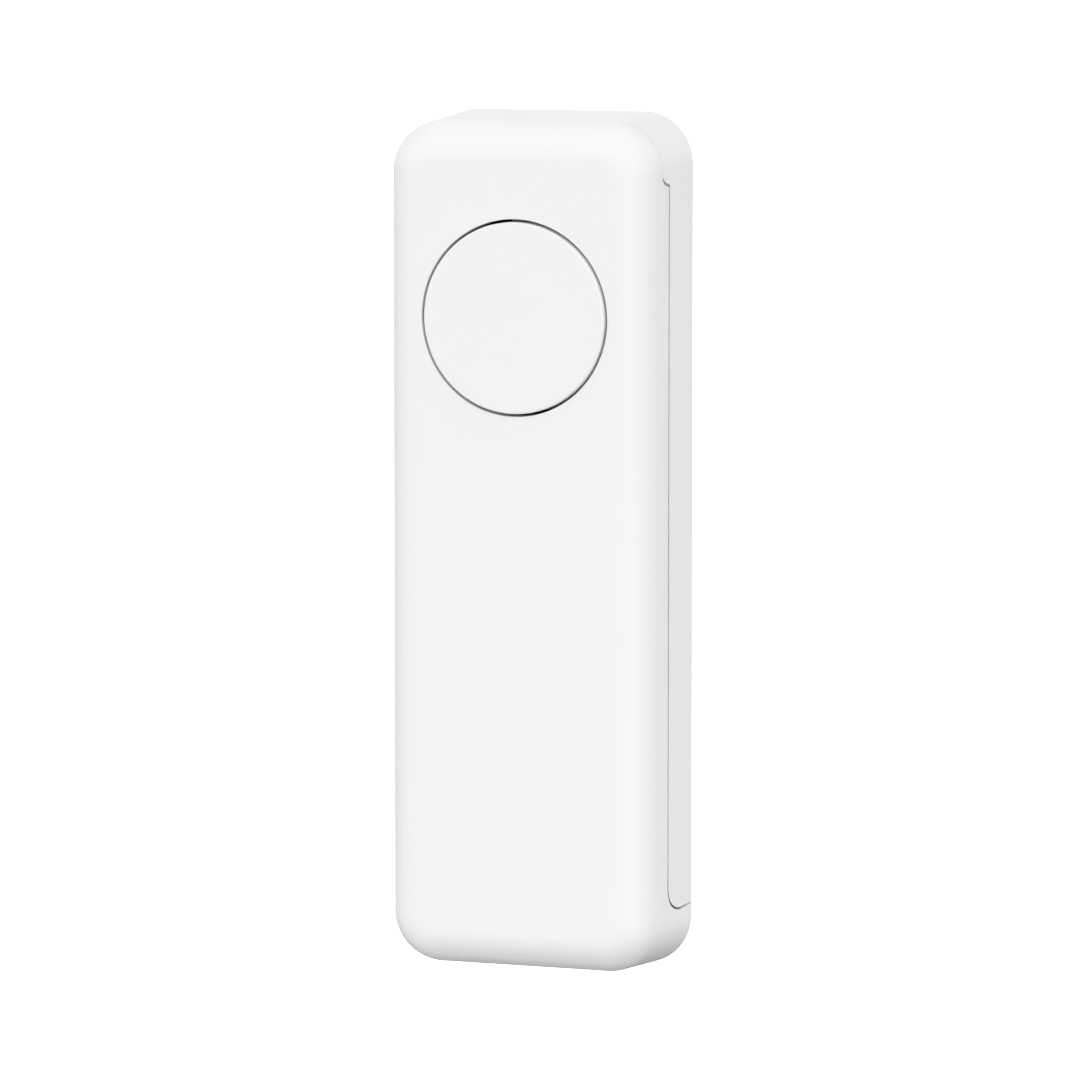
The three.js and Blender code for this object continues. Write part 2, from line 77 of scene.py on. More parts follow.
MM = 0.001
SHELL_LOW, SHELL_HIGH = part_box("front_shell")
FRONT_Y = SHELL_LOW.y
TO_FRAME = Matrix.Translation((0, FRONT_Y, 0)) @ Matrix.Scale(MM, 4)
FROM_FRAME = TO_FRAME.inverted()
DEPTH = (SHELL_HIGH.y - FRONT_Y) / MM
HALF_WIDTH = SHELL_HIGH.x / MM
HALF_HEIGHT = -SHELL_LOW.z / MM
CORNER = 4.9
FILLET = 3.4
END_TAPER = 0.9
WALL = 1.5
INNER_BACK = DEPTH - WALL
INNER_HALF_WIDTH = HALF_WIDTH - WALL
# How deep a rib, boss or arm sinks into the wall that carries it.
ROOT = 0.3
BACK_EDGE = 0.15
SEAM_EDGE = 0.03

# The parting line on the side walls as [depth, z]. A bend is the control point of a curve.
SEAM_TOP = 4.3
SEAM_SIDE = 6.1
TAB = [(SEAM_TOP, 35.05), (4.75, 34.5), (SEAM_SIDE, 34.33)]
FOOT = [(SEAM_SIDE, -32.3), (SEAM_SIDE, -34.6), (9.4, -34.95)]
FOOT_END = -34.85
SEAM_GAP = 0.2
# How far the front case's side of the notch under the tab is drawn away from the cover.
NOTCH_GAPE = 0.15
UNDERCUT = 0.3

# The cover's lip, which laps inside the front case.
LAP_DEPTH = 0.9
LAP_THICKNESS = 0.6
LAP_CLEARANCE = 0.15
LAP_BACK = SEAM_SIDE + 1.5
LAP_END = FOOT[0][1] + 2

BUTTON_Z = 21.9
BUTTON_RADIUS = 9.04
BUTTON_FACE = -0.35
BUTTON_INSIDE = 1.15
BUTTON_SKIRT_END = 2.6
HOLE_RADIUS = 9.32
HOLE_X = -0.04
GUIDE_END = 3.2

PAD_CORNER = 2.5
CLIP_Z = (26, 1, -25)
COVER_RIB_Z = (12, 19, 33)
BOARD_RIBS = ((-1, 7.5), (1, 7.5), (-1, -12))
SCREW_PLACES = [(x, z) for z in (34.2, -32.2) for x in (-8.2, 8.2)]
BOARD_GAP = 0.03

CORNER_STEPS = 24
FILLET_STEPS = 20
ARC_STEPS = 8
ROUND = 160
SHARP_EDGE = 40
SMOOTH_EDGE = 35
SLIVER = 0.001


# ---- The CAD model's places ----

def limits(node):
    """A CAD node's lowest and highest corners, in the case's own millimetres."""
    low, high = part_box(node)
    return FROM_FRAME @ low, FROM_FRAME @ high


BOARD_FRONT = limits("main_board")[0].y
BOARD_BACK = limits("main_board")[1].y
# Where the case's bosses and ribs end under the board, and where parts rest on its back.
SUPPORT_END = BOARD_FRONT - BOARD_GAP
SEAT = BOARD_BACK + BOARD_GAP
NODE_SLOTS = {part["node"]: part["material_slot"] for part in frame["record"]["subparts"]}


# ---- Mesh helpers ----

def add_object(name, data):
    obj = bpy.data.objects.new(name, data)
    bpy.context.scene.collection.objects.link(obj)
    return obj


def from_bmesh(name, bm):
    bmesh.ops.recalc_face_normals(bm, faces=bm.faces)
    mesh = bpy.data.meshes.new(name)
    bm.to_mesh(mesh)
    bm.free()
    return add_object(name, mesh)


def apply_modifiers(obj):
    depsgraph = bpy.context.evaluated_depsgraph_get()
    depsgraph.update()
    mesh = bpy.data.meshes.new_from_object(
        obj.evaluated_get(depsgraph), preserve_all_data_layers=True, depsgraph=depsgraph)
    obj.modifiers.clear()
    obj.data = mesh
    return obj


def combine(obj, operation, *others):
    """Joins, cuts or keeps the overlap of obj with the others, which are used up."""
    for other in others:
        modifier = obj.modifiers.new("combine", "BOOLEAN")
        modifier.operation = operation
        modifier.object = other
        modifier.solver = "MANIFOLD"
        apply_modifiers(obj)
        bpy.data.objects.remove(other)


def cut(obj, *others):
    combine(obj, "DIFFERENCE", *others)


def unite(obj, *others):
    combine(obj, "UNION", *others)


def remove_slivers(obj):
    """Takes out the slivers that a cut leaves along a curved surface."""
    bm = bmesh.new()
    bm.from_mesh(obj.data)
    bmesh.ops.remove_doubles(bm, verts=bm.verts, dist=SLIVER)
    bmesh.ops.dissolve_degenerate(bm, edges=bm.edges, dist=SLIVER)
    bm.to_mesh(obj.data)
    bm.free()


def join(objects):
    """Separate closed meshes as one object."""
    bm = bmesh.new()
    for obj in objects:
        bm.from_mesh(obj.data)
        bpy.data.objects.remove(obj)
    return from_bmesh("join", bm)


def copy_of(obj, turn, offset=(0, 0, 0)):
    """A copy turned by degrees about the depth axis, and then moved by offset."""
    mesh = obj.data.copy()
    mesh.transform(Matrix.Translation(offset) @ Matrix.Rotation(math.radians(turn), 4, "Y"))
    return add_object(obj.name, mesh)


def block(low, high):
    bm = bmesh.new()
    size = Vector(high) - Vector(low)
    middle = (Vector(high) + Vector(low)) / 2
    place = Matrix.Translation(middle) @ Matrix.Diagonal((*size, 1))
    bmesh.ops.create_cube(bm, size=1, matrix=place)
    return from_bmesh("block", bm)


def round_corners(obj, radius, segments=3):
    bevel = obj.modifiers.new("round", "BEVEL")
    bevel.width = radius
    bevel.segments = segments
    bevel.limit_method = "ANGLE"
    bevel.angle_limit = math.radians(SHARP_EDGE)
    return apply_modifiers(obj)


def rounded_block(low, high, radius, segments=3):
    return round_corners(block(low, high), radius, segments)


def add_ring(bm, points):
    return [bm.verts.new(p) for p in points]


def add_strip(bm, near, far, closed=False):
    count = len(near) if closed else len(near) - 1
    for i in range(count):
        j = (i + 1) % len(near)
        bm.faces.new([near[i], near[j], far[j], far[i]])


def loft(rings):
    """A closed solid through rings of points, flat at both ends."""
    bm = bmesh.new()
    rings = [add_ring(bm, ring) for ring in rings]
    bm.faces.new(rings[0])
    bm.faces.new(rings[-1])
    for near, far in zip(rings, rings[1:]):
        add_strip(bm, near, far, closed=True)
    return from_bmesh("loft", bm)


def spin(profile, x=0.0, z=0.0, steps=ROUND):
    """A turned solid about the depth axis through x, z. The profile's [radius, depth] points start
    and end on the axis, or close on themselves."""
    bm = bmesh.new()
    turns = [2 * math.pi * i / steps for i in range(steps)]
    rings = []
    for radius, depth in profile:
        if radius == 0:
            rings.append(add_ring(bm, [(x, depth, z)]))
        else:
            rings.append(add_ring(
                bm, [(x + radius * math.cos(a), depth, z + radius * math.sin(a)) for a in turns]))
    for near, far in zip(rings, rings[1:]):
        for i in range(steps):
            j = i + 1
            corners = [near[i % len(near)], near[j % len(near)], far[j % len(far)], far[i % len(far)]]
            bm.faces.new(list(dict.fromkeys(corners)))
    bmesh.ops.remove_doubles(bm, verts=bm.verts, dist=1e-5)
    bmesh.ops.dissolve_limit(bm, angle_limit=0.001, verts=bm.verts, edges=bm.edges)
    return from_bmesh("spin", bm)


def cylinder(radius, near, far, x, z, steps=48):
    return spin([[0, near], [radius, near], [radius, far], [0, far]], x, z, steps)


def quarter_arc(centre, radius, start, steps=ARC_STEPS):
    """Points [a, b] of a quarter circle. start counts quarter turns from the first axis."""
    angles = [(start + i / steps) * math.pi / 2 for i in range(steps + 1)]
    return [[centre[0] + radius * math.cos(a), centre[1] + radius * math.sin(a)] for a in angles]


def curve(start, bend, end, steps=ARC_STEPS):
    """Points of the curve from start to end that the bend draws towards itself."""
    shares = [i / steps for i in range(steps + 1)]
    return [start * (1 - t) ** 2 + bend * 2 * t * (1 - t) + end * t ** 2 for t in shares]


def rounded_path(points, radius):
    """A line of points with its inner corners drawn round."""
    points = [Vector(p) for p in points]
    line = [points[0]]
    for before, corner, after in zip(points, points[1:], points[2:]):
        back = (before - corner).normalized() * radius
        on = (after - corner).normalized() * radius
        line += curve(corner + back, corner, corner + on, 5)
    return line + [points[-1]]


def offset_line(points, distance):
    """A flat line of points moved to its right, along the mitre of its sides."""
    points = [Vector(p) for p in points]
    sides = [(after - before).normalized() for before, after in zip(points, points[1:])]
    moved = []
    for i, point in enumerate(points):
        along = sides[max(i - 1, 0)] + sides[min(i, len(sides) - 1)]
        moved.append(point + Vector((along.y, -along.x)) * (2 * distance / along.length_squared))
    return moved


def rounded_rectangle(width, height, radius, x=0.0, z=0.0, steps=6):
    points = []
    for quarter, (side, top) in enumerate(((1, 1), (-1, 1), (-1, -1), (1, -1))):
        centre = (x + side * (width / 2 - radius), z + top * (height / 2 - radius))
        points += quarter_arc(centre, radius, quarter, steps)
    return points


def plate(outline, near, far):
    """An outline of [x, z] points as a plate between two depths."""
    return loft([[(x, y, z) for x, z in outline] for y in (near, far)])


def ribbon(points, width, near, far):
    """A flat strip of constant width along [x, z] points, between two depths."""
    right = offset_line(points, width / 2)
    left = offset_line(points, -width / 2)
    rings = []
    for (x0, z0), (x1, z1) in zip(right, left):
        rings.append([(x0, near, z0), (x0, far, z0), (x1, far, z1), (x1, near, z1)])
    return loft(rings)


def power_point(angle, squareness):
    """A point on a unit outline. squareness 2 makes that a circle, and more squares it."""
    across, up = math.cos(angle), math.sin(angle)
    return [math.copysign(abs(v) ** (2 / squareness), v) for v in (across, up)]


def swept(path, sections, x, squareness, steps=20):
    """A bar along [depth, z] points in the plane at x. sections holds its half width across and its
    half thickness at each point, or one pair for all. squareness is power_point's."""
    path = [Vector(p) for p in path]
    if len(sections) == 1:
        sections = sections * len(path)
    rings = []
    for i, (point, (width, thickness)) in enumerate(zip(path, sections)):
        along = (path[min(i + 1, len(path) - 1)] - path[max(i - 1, 0)]).normalized()
        ring = []
        for step in range(steps):
            across, up = power_point(2 * math.pi * (step + 0.5) / steps, squareness)
            across, up = across * width, up * thickness
            ring.append((x + across, point.x - along.y * up, point.y + along.x * up))
        rings.append(ring)
    return loft(rings)


def bent_legs(start, foot, z, reach, steps, bend, half_width, places):
    """Legs on both sides of z that leave a body at the depth start and stand at the depth foot.
    steps are their corners' distances from the body, whose sides are at reach from z."""
    legs = []
    for side in (-1, 1):
        edge = z + side * reach
        corners = [edge + side * step for step in steps]
        path = rounded_path(list(zip((start, start, foot, foot), corners)), bend)
        legs += [swept(path, [(half_width, 0.075)], x, 8) for x in places]
    return legs


def smooth(obj):
    """Smooth surfaces between sharp edges, with the flat faces kept flat."""
    obj.data.polygons.foreach_set("use_smooth", [True] * len(obj.data.polygons))
    obj.data.set_sharp_from_angle(angle=math.radians(SMOOTH_EDGE))
    weighted = obj.modifiers.new("weighted", "WEIGHTED_NORMAL")
    weighted.keep_sharp = True
    weighted.weight = 100
    apply_modifiers(obj)


def keep(obj, name, material, body):
    """Finishes a piece: smooth, in the frame's metres, on its body."""
    smooth(obj)
    obj.name = name
    obj.data.name = name
    obj.data.transform(TO_FRAME)
    obj.data.materials.clear()
    obj.data.materials.append(material)
    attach(obj, body)


def keep_metal(pieces, name, material):
    """Small metal pieces as one, on the board."""
    keep(join(pieces), name, material, "front")


def stand_for(node, obj, name, material):
    """Finishes a piece that stands for a CAD node."""
    keep(obj, name, material, frame["nodes"][node]["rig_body"])
    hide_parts(node)
    return obj


# ---- Camera, lights and floor ----

CAMERA_DISTANCE = 0.635
LIGHT_DISTANCE = 1.2
LIGHT_SIZE = 0.7
FLOOR_Z = -0.16
FLOOR_HALF_WIDTH = 20
# The band round the horizon, as the height of a direction, where the room's light fades out.
FADE_LOW, FADE_HIGH = -0.15, 0.15
WHITE = (1, 1, 1, 1)


def set_inputs(shader, **inputs):
    """Sets a shader node's inputs. An input's name has _ for a space."""
    for name, value in inputs.items():
        shader.inputs[name.replace("_", " ")].default_value = value
    return shader


def node(nodes, kind, **inputs):
    return set_inputs(nodes.new("ShaderNode" + kind), **inputs)


def wire(source, output, target, entry):
    source.id_data.links.new(source.outputs[output], target.inputs[entry])


def direction(azimuth, elevation):
    """Azimuth 0 is straight in front, 90 to the right."""
    turn, rise = math.radians(azimuth), math.radians(elevation)
    flat = math.cos(rise)
    return Vector((math.sin(turn) * flat, -math.cos(turn) * flat, math.sin(rise)))


def add_camera():
    data = bpy.data.cameras.new("camera")
    data.sensor_width = 36
    data.lens = 222
    data.shift_x = 0.00145
    data.shift_y = 0.00256
    data.clip_start = 0.01
    data.clip_end = 50
    camera = add_object("camera", data)
    away = direction(20.54, 6.15)
    camera.location = Vector((0, FRONT_Y + DEPTH / 2 * MM, 0)) + away * CAMERA_DISTANCE
    camera.rotation_euler = (-away).to_track_quat("-Z", "Y").to_euler()
    bpy.context.scene.camera = camera


def add_softbox(name, azimuth, elevation, power):
    """A square soft light that faces the object."""
    data = bpy.data.lights.new(name, "AREA")
    data.shape = "SQUARE"
    data.size = LIGHT_SIZE
    data.energy = power
    light = add_object(name, data)
    away = direction(azimuth, elevation)
    light.location = away * LIGHT_DISTANCE
    light.rotation_euler = (-away).to_track_quat("-Z", "Y").to_euler()


def add_world():
    """A pale room whose light fades out below the horizon, with a plain white backdrop."""
    world = bpy.data.worlds.new("studio")
    bpy.context.scene.world = world
    world.use_nodes = True
    nodes = world.node_tree.nodes
    nodes.clear()
    coordinates = node(nodes, "TexCoord")
    axes = node(nodes, "SeparateXYZ")
    rise = node(nodes, "MapRange", From_Min=FADE_LOW, From_Max=FADE_HIGH)
    room = node(nodes, "Background", Color=WHITE)
    backdrop = node(nodes, "Background", Color=WHITE)
    ray = node(nodes, "LightPath")
    shown = node(nodes, "MixShader")
    output = node(nodes, "OutputWorld")
    wire(coordinates, "Generated", axes, "Vector")
    wire(axes, "Z", rise, "Value")
    wire(rise, "Result", room, "Strength")
    wire(ray, "Is Camera Ray", shown, "Fac")
    wire(room, "Background", shown, 1)
    wire(backdrop, "Background", shown, 2)
    wire(shown, "Shader", output, "Surface")


def add_floor():
    """A white floor that is seen from above only, so the part shows from underneath as well. It
    lights and shades nothing."""
    bm = bmesh.new()
    bmesh.ops.create_grid(bm, x_segments=1, y_segments=1, size=FLOOR_HALF_WIDTH)
    floor = from_bmesh("floor", bm)
    floor.location.z = FLOOR_Z
    material = bpy.data.materials.new("floor")
    material.use_nodes = True
    nodes = material.node_tree.nodes
    shader = nodes["Principled BSDF"]
    set_inputs(
        shader, Base_Color=(0.8, 0.8, 0.8, 1), Roughness=1, Emission_Color=WHITE, Emission_Strength=1)
    side = node(nodes, "NewGeometry")
    unseen = node(nodes, "BsdfTransparent")
    one_way = node(nodes, "MixShader")
    wire(side, "Backfacing", one_way, "Fac")
    wire(shader, "BSDF", one_way, 1)
    wire(unseen, "BSDF", one_way, 2)
    wire(one_way, "Shader", nodes["Material Output"], "Surface")
    floor.data.materials.append(material)
    floor.visible_diffuse = floor.visible_glossy = floor.visible_transmission = floor.visible_shadow = False


# ---- Materials ----

BUMP_STRENGTH = 0.3
CLOUD_SCALE = 60
GLOSS_DRIFT = 0.04


def surface(name, color, roughness, relief, grain=0.25, metallic=0.0, mottle_and_pore_shade=0.03,
            stretch=(1, 1, 1), pores=False):
    """A material with a fine relief, whose colour and gloss drift a little. grain and relief are in
    millimetres, stretch squeezes the grain along an axis, and pores makes it open bubbles, with
    painted shade that darkens their insides. mottle is how far the colour drifts darker, and with
    pores how dark that painted shade is."""
    material = bpy.data.materials.new(name)
    material.use_nodes = True
    nodes, links = material.node_tree.nodes, material.node_tree.links
    shader = set_inputs(nodes["Principled BSDF"], Metallic=metallic)
    coordinates = node(nodes, "TexCoord")
    scale = node(nodes, "Mapping", Scale=[s / (grain * MM) for s in stretch])
    wire(coordinates, "Object", scale, "Vector")
    texture = node(nodes, "TexVoronoi" if pores else "TexNoise", Scale=1, Detail=1 if pores else 3)
    wire(scale, "Vector", texture, "Vector")
    height = texture.outputs["Distance" if pores else "Fac"]
    bump = node(nodes, "Bump", Strength=BUMP_STRENGTH, Distance=relief * MM)
    links.new(height, bump.inputs["Height"])
    wire(bump, "Normal", shader, "Normal")
    cloud = node(nodes, "TexNoise", Scale=CLOUD_SCALE, Detail=4)
    wire(coordinates, "Object", cloud, "Vector")
    tint = node(nodes, "Mix")
    tint.data_type = "RGBA"
    darker, lighter = [socket for socket in tint.inputs if socket.type == "RGBA"]
    mixed = [socket for socket in tint.outputs if socket.type == "RGBA"][0]
    darker.default_value = (*[c * (1 - mottle_and_pore_shade) for c in color], 1)
    lighter.default_value = (*color, 1)
    # With pores the colour follows the pores' depth: painted shade, darker at the bottom of each pore.
    # Without pores it drifts at random with the cloud.
    links.new(height if pores else cloud.outputs["Fac"], tint.inputs["Factor"])
    links.new(mixed, shader.inputs["Base Color"])
    gloss = node(nodes, "MapRange", To_Min=roughness - GLOSS_DRIFT, To_Max=roughness + GLOSS_DRIFT)
    wire(cloud, "Fac", gloss, "Value")
    wire(gloss, "Result", shader, "Roughness")
    return material


def clear(name, color, roughness, ior):
    """Glass or clear resin, with a faint waviness."""
    material = surface(name, color, roughness + GLOSS_DRIFT, 0.01, grain=1.5, mottle_and_pore_shade=0.05)
    set_inputs(material.node_tree.nodes["Principled BSDF"], Transmission_Weight=1, IOR=ior)
    return material


# ---- The case's form ----

def lean(depth):
    """The share of its full height that the case has at a depth, as its ends lean in at the front."""
    return 1 - END_TAPER / HALF_HEIGHT * (1 - depth / DEPTH)


def case_outline(inset, depth, quarters=range(4)):
    """The case's rounded outline at a depth, set in by inset, from the right side over the top and
    round."""
    points = []
    for quarter in quarters:
        side = 1 if quarter in (0, 3) else -1
        top = 1 if quarter in (0, 1) else -1
        centre = (side * (HALF_WIDTH - CORNER), top * (HALF_HEIGHT - CORNER))
        for x, z in quarter_arc(centre, CORNER - inset, quarter, CORNER_STEPS):
            points.append((x, depth, z * lean(depth)))
    return points


def seam_line(grow, end=None):
    """The parting line from the top to the back edge, or to the height end. grow moves it towards
    the front case. At the back edge the gap narrows to a quarter."""
    points = offset_line([(SEAM_TOP, HALF_HEIGHT), *TAB, *FOOT, (DEPTH, FOOT_END)], grow)
    if grow > 0:
        points[2] -= Vector((NOTCH_GAPE, NOTCH_GAPE))
    line = curve(*points[1:4])
    if end is not None:
        return line + [Vector((line[-1].x, end)), Vector((LAP_BACK, end))]
    last = FOOT_END + (points[-1].y - FOOT_END) / 4
    return line + curve(*points[4:7]) + [Vector((DEPTH, last))]


def add_seam(bm, line, half_width, top_ring, inner_line=None):
    """The surface across the case where it parts, which may lie further back inside the walls'
    edges. Returns its right edge, its left edge and its last points from left to right."""
    right = add_ring(bm, [(half_width, y, z) for y, z in line])
    left = add_ring(bm, [(-half_width, y, z) for y, z in line])
    across = [right, left]
    if inner_line:
        inner_line = [line[0], *inner_line[1:-1], line[-1]]
        across[1:1] = [add_ring(bm, [(x, y, z) for y, z in inner_line])
                       for x in (half_width - UNDERCUT, UNDERCUT - half_width)]
    for near, far in zip(across, across[1:]):
        add_strip(bm, near, far)
    bm.faces.new([*top_ring, *[ring[0] for ring in reversed(across)]])
    return right, left, [ring[-1] for ring in reversed(across)]


def add_nose(bm, inset):
    """The flat front face and its rounded edge. Returns the ring where the straight walls start."""
    radius = FILLET - inset
    rings = []
    for i in range(FILLET_STEPS + 1):
        angle = math.pi / 2 * i / FILLET_STEPS
        depth = inset + radius * (1 - math.cos(angle))
        rings.append(add_ring(bm, case_outline(inset + radius * (1 - math.sin(angle)), depth)))
    bm.faces.new(rings[0])
    for near, far in zip(rings, rings[1:]):
        add_strip(bm, near, far, closed=True)
    return rings[-1]


def round_edges(bm, name):
    """Rounds a body's back edges away from the seam, and breaks its other sharp edges a little."""
    bmesh.ops.recalc_face_normals(bm, faces=bm.faces)
    layer = bm.edges.layers.float.new("bevel_weight_edge")
    for edge in bm.edges:
        if len(edge.link_faces) == 2 and edge.calc_face_angle() > math.radians(50):
            behind = all(v.co.y > DEPTH - 0.01 for v in edge.verts)
            by_seam = any(abs(v.co.z - FOOT_END) <= 2 * BACK_EDGE for v in edge.verts)
            edge[layer] = 1.0 if behind and not by_seam else SEAM_EDGE / BACK_EDGE
    obj = from_bmesh(name, bm)
    bevel = obj.modifiers.new("round", "BEVEL")
    bevel.limit_method = "WEIGHT"
    bevel.width = BACK_EDGE
    bevel.segments = 4
    return apply_modifiers(obj)


def front_body():
    """Everything in front of the parting line, solid."""
    bm = bmesh.new()
    arc = CORNER_STEPS + 1
    shoulder = add_nose(bm, 0)
    top = add_ring(bm, case_outline(0, SEAM_TOP - SEAM_GAP / 2, (0, 1)))
    bottom = add_ring(bm, case_outline(0, DEPTH, (2, 3)))
    add_strip(bm, shoulder[:2 * arc], top)
    add_strip(bm, shoulder[2 * arc:], bottom)
    right, left, foot = add_seam(bm, seam_line(SEAM_GAP / 2), HALF_WIDTH, top)
    bm.faces.new([shoulder[0], top[0], *right, bottom[-1], shoulder[-1]])
    bm.faces.new([shoulder[2 * arc - 1], top[-1], *left, bottom[0], shoulder[2 * arc]])
    bm.faces.new([*bottom, *reversed(foot)])
    return round_edges(bm, "front_body")


def rear_body(grow, inset=0.0, end=None, back=DEPTH):
    """Everything behind the parting line as a bmesh, down to its foot or to the height end."""
    bm = bmesh.new()
    top = add_ring(bm, case_outline(inset, SEAM_TOP - grow, (0, 1)))
    rim = add_ring(bm, case_outline(inset, back, (0, 1)))
    add_strip(bm, top, rim)
    inner_line = seam_line(grow - UNDERCUT) if end is None else None
    right, left, foot = add_seam(bm, seam_line(grow, end), HALF_WIDTH - inset, top, inner_line)
    bm.faces.new([top[0], rim[0], *reversed(right)])
    bm.faces.new([top[-1], rim[-1], *reversed(left)])
    bm.faces.new([*rim, *foot])
    return bm


def lap(grow, inset, end):
    """The band that the cover's lip fills, or its rebate in the front case."""
    return from_bmesh("lap", rear_body(grow, inset, end, LAP_BACK))


def hollow():
    """The room inside the case's walls."""
    bm = bmesh.new()
    shoulder = add_nose(bm, WALL)
    rim = add_ring(bm, case_outline(WALL, INNER_BACK))
    add_strip(bm, shoulder, rim, closed=True)
    bm.faces.new(rim)
    return from_bmesh("hollow", bm)


# ---- Front case ----

def screw_boss(x, z):
    """A boss with a flared root."""
    root, radius, flare = WALL - ROOT, 1.9, 0.5
    angles = (0, 0.4, 0.8, 1.2, math.pi / 2)
    side = [[radius + flare * (1 - math.sin(a)), WALL + flare * (1 - math.cos(a))] for a in angles]
    return spin([[0, root], [radius + flare, root], *side, [radius, SUPPORT_END], [0, SUPPORT_END]],
                x, z, 48)


def pilot_hole(x, z):
    """A screw's hole with a small chamfer at its mouth."""
    radius, chamfer, start, end = 0.95, 0.2, 2, 7
    return spin([[0, start], [radius, start], [radius, SUPPORT_END - chamfer],
                 [radius + chamfer, SUPPORT_END], [radius + chamfer, end], [0, end]], x, z, 48)


def board_rib(side, z):
    """A rib that carries the board's edge. It stops short of the cover's lip."""
    rib = block((7.8, WALL - ROOT, z - 0.5), (INNER_HALF_WIDTH + ROOT, SUPPORT_END, z + 0.5))
    lip_front = SEAM_SIDE - LAP_DEPTH - 0.5
    lip_room = block((INNER_HALF_WIDTH - 1.1, lip_front, z - 1), (HALF_WIDTH, 8, z + 1))
    cut(rib, lip_room)
    if side < 0:
        rib.data.transform(Matrix.Scale(-1, 4, (1, 0, 0)))
        rib.data.flip_normals()
    return rib


def ejector_mark(x, z):
    """The shallow round mark that a mould's ejector pin leaves."""
    return cylinder(1.5, WALL - 0.05, WALL + 0.5, x, z)


def front_shell(material):
    shell = front_body()
    cut(shell, hollow())
    reach = LAP_DEPTH + SEAM_GAP
    rebate = lap(reach, WALL - LAP_THICKNESS - LAP_CLEARANCE, LAP_END - reach)
    cut(shell, rebate)
    cut(shell, *[ejector_mark(x, z) for x in (-5, 5) for z in (4, -18, -28)])
    guide_radius, chamfer = HOLE_RADIUS + 1.1, 0.15
    guide = [[0, WALL - ROOT], [guide_radius, WALL - ROOT], [guide_radius, GUIDE_END - chamfer],
             [guide_radius - chamfer, GUIDE_END], [0, GUIDE_END]]
    unite(shell, spin(guide, 0, BUTTON_Z))
    unite(shell, *[screw_boss(x, z) for x, z in SCREW_PLACES])
    unite(shell, *[board_rib(side, z) for side, z in BOARD_RIBS])
    cut(shell, *[pilot_hole(x, z) for x, z in SCREW_PLACES])
    lip = 0.06
    angles = [i * math.pi / 12 for i in range(7)]
    mouth = [[HOLE_RADIUS + lip * (1 - math.sin(a)), lip * (1 - math.cos(a))] for a in angles]
    hole = [[0, -1], [HOLE_RADIUS + lip, -1], *mouth, [HOLE_RADIUS, 5], [0, 5]]
    cut(shell, spin(hole, HOLE_X, BUTTON_Z))
    stand_for("front_shell", shell, "front_case", material)


# ---- Rear cover, its adhesive pad and the sponge behind the cell ----

def clip_arm(side, z):
    """An arm that stands forward into the front case, with a sloped tip."""
    outer = INNER_HALF_WIDTH - 0.1
    inner = outer - 0.8
    tip, step, back = 3.8, SEAM_SIDE + 0.6, INNER_BACK + ROOT
    outline = [(inner, back), (inner, tip), (outer - 0.3, tip), (outer, tip + 0.6), (outer, step),
               (INNER_HALF_WIDTH + ROOT, step), (INNER_HALF_WIDTH + ROOT, back)]
    return loft([[(side * x, y, height) for x, y in outline] for height in (z - 2.5, z + 2.5)])


def pad_recess():
    """The shallow pocket in the cover's back that the adhesive pad sits in."""
    low, high = limits("adhesive_pad")
    clearance, depth = 0.2, 0.5
    width, height = high.x - low.x + 2 * clearance, high.z - low.z + 2 * clearance
    return plate(rounded_rectangle(width, height, PAD_CORNER), DEPTH - depth, DEPTH + 1)


def back_cover(material):
    cover = round_edges(rear_body(-SEAM_GAP / 2), "rear_body")
    unite(cover, lap(LAP_DEPTH, WALL - LAP_THICKNESS, LAP_END - LAP_DEPTH))
    cut(cover, hollow())
    unite(cover, *[clip_arm(side, z) for side in (-1, 1) for z in CLIP_Z])
    reach = INNER_HALF_WIDTH - 1
    ribs = [block((-reach, INNER_BACK - 1, z - 0.4), (reach, INNER_BACK + ROOT, z + 0.4))
            for z in COVER_RIB_Z]
    unite(cover, *ribs)
    cut(cover, pad_recess())
    stand_for("back_cover", cover, "rear_cover", material)


def foam_block(node_name, corner, waist):
    """Foam between two faces it lies flat on. waist draws its sides in half way, or out where it is
    below 0."""
    low, high = limits(node_name)
    middle = (low + high) / 2
    width, height = high.x - low.x + 2 * min(waist, 0), high.z - low.z + 2 * min(waist, 0)
    rings = []
    for i in range(ARC_STEPS + 1):
        pull = 2 * waist * math.sin(math.pi * i / ARC_STEPS)
        depth = low.y + (high.y - low.y) * i / ARC_STEPS
        outline = rounded_rectangle(width - pull, height - pull, corner, middle.x, middle.z)
        rings.append([(x, depth, z) for x, z in outline])
    return loft(rings)


def adhesive_pad(material):
    foam = foam_block("adhesive_pad", PAD_CORNER, 0.12)
    pad = stand_for("adhesive_pad", foam, "adhesive_foam", material)


def cell_foam(material):
    sponge = stand_for("cell_foam", foam_block("cell_foam", 1, -0.35), "cell_sponge", material)


# ---- Button ----

